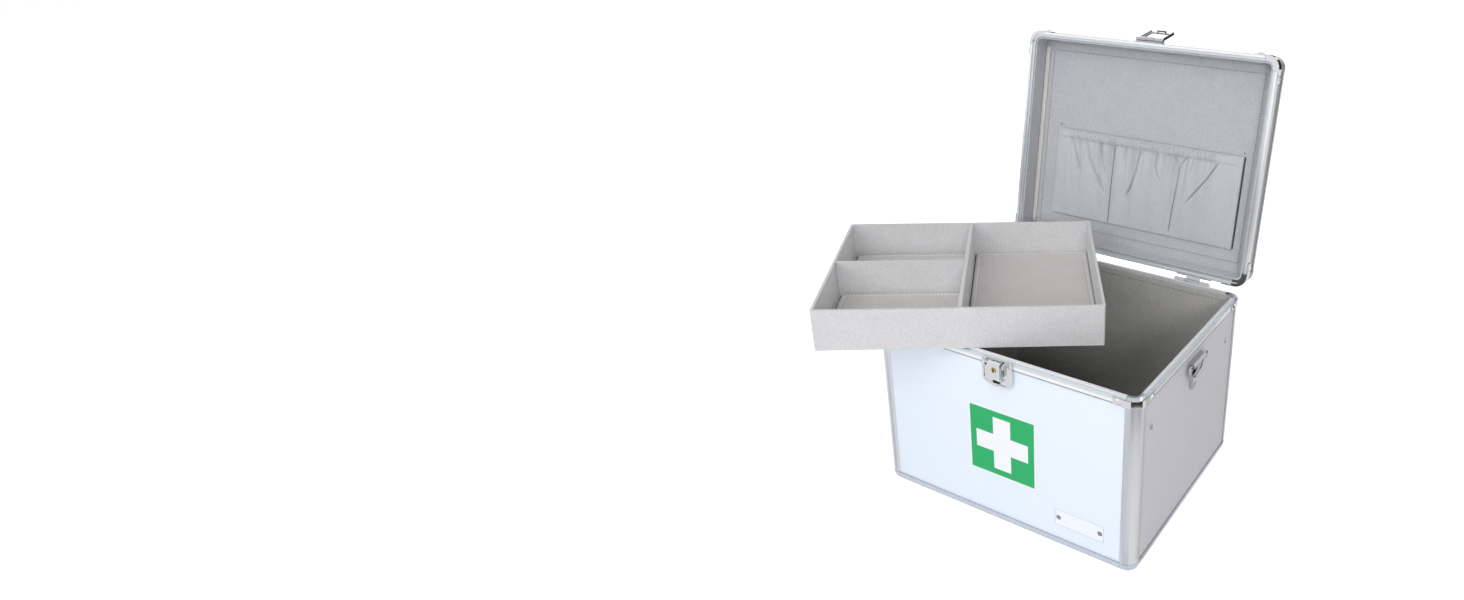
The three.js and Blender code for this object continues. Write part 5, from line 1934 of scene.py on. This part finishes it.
@dataclass
class Tray:
    """The lift-out tray with its dividers and sewn floor pads."""

    shop: Workshop
    size: TraySize = TraySize()
    stitch: Stitch = Stitch(pitch=0.0040, length=0.0022, thickness=0.0010)
    pad_seat: float = 0.0003
    pad_fill: float = 0.3
    body: str = "tray"

    def __post_init__(self) -> None:
        """Works out the tray's own frame."""
        low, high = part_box("tray_box")
        centre = (low + high) / 2
        foot = Matrix.Translation(Vector((centre.x, centre.y, low.z)))
        self.frame = foot @ Matrix.Rotation(self.size.turn, 4, "Z")

    def place(self, across: float, along: float, up: float) -> Vector:
        """Places a point to the tray's right, to its back and above its underside."""
        return self.frame @ Vector((across, along, up))

    def build(self) -> None:
        """Makes the pads and dresses the tray's solids."""
        size = self.size
        for node in ("tray_box", "tray_divider_long", "tray_divider_cross"):
            self.shop.dress(node, Surface.TRAY_FELT, size.wide_edge)
        right, back = size.width / 2 - size.wall, size.depth / 2 - size.wall
        half = size.divider / 2
        middle, cross = size.divider_x, size.divider_y
        self.build_pad("front_left", Room(-right, middle - half, -back, cross - half))
        self.build_pad("back_left", Room(-right, middle - half, cross + half, back))
        self.build_pad("right", Room(middle + half, right, -back, back))

    def build_pad(self, name: str, compartment: Room) -> None:
        """Makes one sewn floor pad.

        Args:
            name: Which compartment it is in.
            compartment: The compartment's sides.
        """
        size = self.size
        room = compartment.inset(size.pad_side)
        room = replace(room, left=compartment.left + size.pad_gap)
        form = PadForm(room, name, size.floor + self.pad_seat)
        ripples = form.ripples()
        columns, rows = form.stations(room.left, room.right), form.stations(room.front, room.back)
        pad = bmesh.new()
        over = [
            [pad.verts.new(self.place(x, y, form.top(ripples, x, y))) for x in columns]
            for y in rows
        ]
        under = [[pad.verts.new(self.place(x, y, form.base)) for x in columns] for y in rows]
        span_rows(pad, over)
        span_rows(pad, [list(reversed(row)) for row in under])
        skin(pad, (border(under), border(over)))
        made = self.shop.piece(f"floor_pad_{name}", pad, Surface.PAD_FELT, self.body)
        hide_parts(f"tray_pad_{name}")
        seam = room.inset(form.seam_inset)
        corners = rectangle(seam.left, seam.right, seam.front, seam.back)
        points = [
            self.place(x, y, form.top(ripples, x, y) + size.seam_lift)
            for x, y in [*corners, corners[0]]
        ]
        sewn = bmesh.new()
        self.stitch.sew(sewn, points, Vector((0, 0, 1)))
        self.shop.piece(f"pad_stitches_{name}", sewn, Surface.THREAD, self.body)
        self.build_gap_shade_strip(name, room)

    def build_gap_shade_strip(self, name: str, pad: Room) -> None:
        """Makes a dark strip of painted shade in the gap on a pad's left.

        Args:
            name: Which compartment it is in.
            pad: The pad's sides.
        """
        size = self.size
        right = pad.left - size.shade_strip_clear
        shade_strip = bmesh.new()
        outline = rectangle(right - size.shade_strip_width, right, pad.front, pad.back)
        slab(shade_strip, outline, size.floor, size.floor + size.shade_strip_height, self.place)
        self.shop.piece(f"gap_shade_strip_{name}", shade_strip, Surface.DARK_THREAD_AND_SHADE, self.body, flat=True)


@dataclass(frozen=True)
class CameraSize:
    """The camera that took the photograph, fitted to the case's edges."""

    image: tuple[int, int] = (1464, 600)
    focal_pixels: float = 867.79
    centre_pixels: Point2 = (1071.52, 259.14)
    place: Point3 = (0.44039, -0.74754, 0.65473)
    right: Point3 = (0.8649012, 0.50190068, 0.00645068)
    down: Point3 = (0.20949485, -0.34927416, -0.91330141)
    sensor: float = 36.0
    near: float = 0.01


class CardTone(Enum):
    """How light a card is, and its tint."""

    DARK = (0.030, 0.022, 0.018)
    MIDDLE = (0.620, 0.620, 0.620)
    COOL = (0.540, 0.590, 0.680)
    WARM = (0.600, 0.560, 0.520)
    LAMP = (1.900, 1.900, 1.900)


@dataclass(frozen=True)
class Card:
    """A card that only shows in bright metal, by its corners."""

    name: str
    tone: CardTone
    corners: tuple[Point3, ...]

    steps: ClassVar[int] = 6
    above_floor: ClassVar[float] = 0.002

    @classmethod
    def upright(
        cls, name: str, tone: CardTone, azimuth: float, far: float, width: float, heights: Span
    ) -> "Card":
        """Makes an upright card that faces the case.

        Args:
            name: Its name.
            tone: How light it is.
            azimuth: Where it stands, in degrees from X towards Y.
            far: How far away it stands.
            width: Its width.
            heights: The heights of its lower and its upper edge.

        Returns:
            The card.
        """
        turn = math.radians(azimuth)
        x, y = far * math.cos(turn), far * math.sin(turn)
        across = (-math.sin(turn) * width / 2, math.cos(turn) * width / 2)
        (x0, y0), (x1, y1) = (x - across[0], y - across[1]), (x + across[0], y + across[1])
        low, high = heights
        return cls(name, tone, ((x0, y0, low), (x1, y1, low), (x1, y1, high), (x0, y0, high)))

    @classmethod
    def flat(cls, name: str, tone: CardTone, centre: Point2, azimuths: Span, radii: Span) -> "Card":
        """Makes a card that lies on the floor, a part of a ring round an upright line.

        Args:
            name: Its name.
            tone: How light it is.
            centre: Where the line stands.
            azimuths: The directions of its two sides, in degrees.
            radii: Its inner and its outer radius.

        Returns:
            The card.
        """
        first, last = azimuths
        sides = [math.radians(first + (last - first) * i / cls.steps) for i in range(cls.steps + 1)]
        places = [(radii[1], side) for side in sides]
        places += [(radii[0], side) for side in reversed(sides)] if radii[0] else [(0.0, 0.0)]
        corners = [
            (
                centre[0] + radius * math.cos(side),
                centre[1] + radius * math.sin(side),
                cls.above_floor,
            )
            for radius, side in places
        ]
        return cls(name, tone, tuple(corners))


def studio_cards() -> tuple[Card, ...]:
    """Places the cards: a low ring, lamps above it, and shades on the floor.

    Returns:
        The cards.
    """
    # The ring goes from the right round by the back, so its last four cards stand in front.
    tops = (0.95, 0.95, 1.30, 1.30, 0.45, 0.45, 0.45, 0.45)
    ring_far, ring_width, ring_foot, lamp_far = 2.6, 1.7, 0.05, 2.2
    ring = []
    for i, top in enumerate(tops):
        azimuth = (i + 0.5) * 360 / len(tops)
        heights = (ring_foot, top)
        ring.append(
            Card.upright(f"card_ring_{i}", CardTone.DARK, azimuth, ring_far, ring_width, heights)
        )
    lamps = [
        Card.upright("card_lamp_left", CardTone.LAMP, 205.0, lamp_far, 1.2, (1.30, 2.30)),
        Card.upright("card_lamp_back", CardTone.LAMP, 110.0, lamp_far, 1.6, (1.40, 2.20)),
        Card.upright("card_lamp_right", CardTone.LAMP, 20.0, lamp_far, 1.0, (1.20, 2.00)),
    ]
    right, left, middle = (0.1555, -0.1275), (-0.1555, -0.1275), (0.0, 0.0)
    near, wide, short = (0.0, 0.29), (0.95, 2.40), (0.3035, 0.90)
    floor = [
        Card.flat("card_facing_right", CardTone.MIDDLE, right, (-100.0, -78.0), near),
        Card.flat("card_cool_right", CardTone.COOL, right, (-124.0, -110.0), near),
        Card.flat("card_cool_left", CardTone.COOL, left, (-156.0, -120.0), near),
        Card.flat("card_warm_side", CardTone.WARM, right, (25.0, 85.0), (0.02, 0.56)),
        Card.flat("card_round_0", CardTone.DARK, middle, (92.0, 130.0), wide),
        Card.flat("card_round_1", CardTone.DARK, middle, (150.0, 190.0), wide),
        Card.flat("card_round_2", CardTone.DARK, middle, (200.0, 232.0), wide),
        Card.flat("card_corner_0", CardTone.DARK, right, (-94.0, -60.0), short),
        Card.flat("card_corner_1", CardTone.DARK, right, (-56.0, -37.0), short),
        Card.flat("card_corner_2", CardTone.DARK, right, (-30.0, 9.0), short),
    ]
    return (*ring, *lamps, *floor)


@dataclass(frozen=True)
class Light:
    """A square soft light: where it is, what it faces, its side and its power in watts."""

    name: str
    place: Point3
    target: Point3
    side: float
    power: float


@dataclass
class Studio:
    """The floor, lights and camera."""

    camera: CameraSize = CameraSize()
    cards: tuple[Card, ...] = studio_cards()
    lights: tuple[Light, ...] = (
        Light("key", (-0.5, -2.1, 1.5), (0.0, 0.0, 0.15), 1.8, 22.5),
        Light("top", (0.3, -0.9, 2.4), (0.0, 0.0, 0.2), 2.0, 14.0),
        Light("fill", (1.15, -1.5, 0.95), (0.0, 0.2, 0.3), 0.45, 10.0),
        Light("back", (-0.5, 2.3, 1.4), (0.0, 0.1, 0.2), 1.8, 12.0),
    )
    ambient: float = 0.38
    world_mirrored: float = 0.92
    floor_seen: float = 0.70
    floor_mirrored: float = 0.86
    floor_half: float = 6.0
    floor_colour: Colour = (0.85, 0.85, 0.86, 1.0)

    def build(self) -> None:
        """Sets the whole picture up."""
        self.build_world()
        self.build_floor()
        for light in self.lights:
            self.build_light(light)
        for card in self.cards:
            self.build_card(card)
        self.build_camera()
        bpy.context.scene.view_settings.view_transform = "Standard"

    def seen_rays(self, graph: Graph, camera: float, mirrored: float) -> bpy.types.NodeSocket:
        """Gives the strength with which a surface shows to each kind of ray.

        Args:
            graph: The graph to add to.
            camera: The strength for camera rays.
            mirrored: The strength for glossy and transmission rays.

        Returns:
            The strength, 0 for every other ray.
        """
        path = graph.add("ShaderNodeLightPath")
        glossy = graph.math(
            "MAXIMUM", path.outputs["Is Glossy Ray"], path.outputs["Is Transmission Ray"]
        )
        direct = graph.math("MULTIPLY", path.outputs["Is Camera Ray"], camera)
        return graph.math("ADD", direct, graph.math("MULTIPLY", glossy, mirrored))

    def build_world(self) -> None:
        """Makes an even white world that lights the case softly."""
        world = bpy.data.worlds.new("Studio")
        world.use_nodes = True
        bpy.context.scene.world = world
        graph = Graph(world.node_tree)
        background = world.node_tree.nodes["Background"]
        extra = self.seen_rays(graph, 1.0 - self.ambient, self.world_mirrored - self.ambient)
        strength = graph.math("ADD", extra, self.ambient)
        graph.feed_all(background.inputs, {"Color": WHITE, "Strength": strength})

    def flat_face(
        self, name: str, corners: Sequence[Point3], material: bpy.types.Material
    ) -> bpy.types.Object:
        """Makes a single face that only belongs to the studio.

        Args:
            name: Its name.
            corners: Its corners, in order.
            material: Its material.

        Returns:
            The face's object.
        """
        data = bpy.data.meshes.new(name)
        data.from_pydata(corners, [], [tuple(range(len(corners)))])
        data.materials.append(material)
        made = bpy.data.objects.new(name, data)
        bpy.context.scene.collection.objects.link(made)
        return made

    def build_floor(self) -> None:
        """Makes the pale floor, which shows white and keeps the case's shadow."""
        half = self.floor_half
        graph = MaterialGraph("floor")
        mirrored = self.seen_rays(graph, 0.0, 1.0)
        graph.shade(
            Base_Color=graph.blend(mirrored, self.floor_colour, BLACK),
            Roughness=1.0,
            Specular_IOR_Level=0.0,
            Emission_Color=WHITE,
            Emission_Strength=self.seen_rays(graph, self.floor_seen, self.floor_mirrored),
        )
        corners = [(x, y, 0.0) for x, y in rectangle(-half, half, -half, half)]
        self.flat_face("floor", corners, graph.material)

    def build_light(self, light: Light) -> None:
        """Makes one soft light, which no metal mirrors.

        Args:
            light: The light.
        """
        data = bpy.data.lights.new(light.name, "AREA")
        data.size = light.side
        data.energy = light.power
        made = bpy.data.objects.new(light.name, data)
        made.visible_glossy = False
        made.location = light.place
        facing = Vector(light.place) - Vector(light.target)
        made.rotation_euler = facing.to_track_quat("Z", "Y").to_euler()
        bpy.context.scene.collection.objects.link(made)

    def build_card(self, card: Card) -> None:
        """Makes one card that gives bright metal something to mirror.

        Args:
            card: The card.
        """
        made = self.flat_face(card.name, card.corners, self.card_material(card.tone))
        made.visible_camera = False
        made.visible_diffuse = False
        made.visible_shadow = False
        made.visible_transmission = False

    def card_material(self, tone: CardTone) -> bpy.types.Material:
        """Finds a tone's material, or makes it the first time.

        Args:
            tone: How light the card is.

        Returns:
            The material.
        """
        name = f"card_{tone.name.lower()}"
        known = bpy.data.materials.get(name)
        if known:
            return known
        graph = MaterialGraph(name)
        graph.shade(
            Base_Color=BLACK,
            Roughness=1.0,
            Specular_IOR_Level=0.0,
            Emission_Color=(*tone.value, 1.0),
            Emission_Strength=1.0,
        )
        return graph.material

    def build_camera(self) -> None:
        """Places the camera where the photograph was taken."""
        size = self.camera
        data = bpy.data.cameras.new("photograph")
        data.sensor_width = size.sensor
        data.sensor_fit = "HORIZONTAL"
        width, height = size.image
        data.lens = size.focal_pixels * size.sensor / width
        data.shift_x = (width / 2 - size.centre_pixels[0]) / width
        data.shift_y = (size.centre_pixels[1] - height / 2) / width
        data.clip_start = size.near
        camera = bpy.data.objects.new("photograph", data)
        right, up = Vector(size.right), -Vector(size.down)
        turn = Matrix((right, up, right.cross(up))).transposed().to_4x4()
        camera.matrix_world = Matrix.Translation(Vector(size.place)) @ turn
        bpy.context.scene.collection.objects.link(camera)
        bpy.context.scene.camera = camera


def main() -> None:
    """Builds the studio and the case, and reports each piece."""
    logging.basicConfig(level=logging.INFO)
    Studio().build()
    shop = Workshop(Palette())
    size = CaseSize.from_frame()
    for part in (BodyShell(shop, size), Hardware(shop), LidShell(shop, size), Tray(shop)):
        start = len(shop.pieces)
        part.build()
        for piece in shop.pieces[start:]:
            log.info("%s: %s, %s", type(part).__name__, piece.name, piece.data.materials[0].name)


if __name__ == "__main__":
    main()
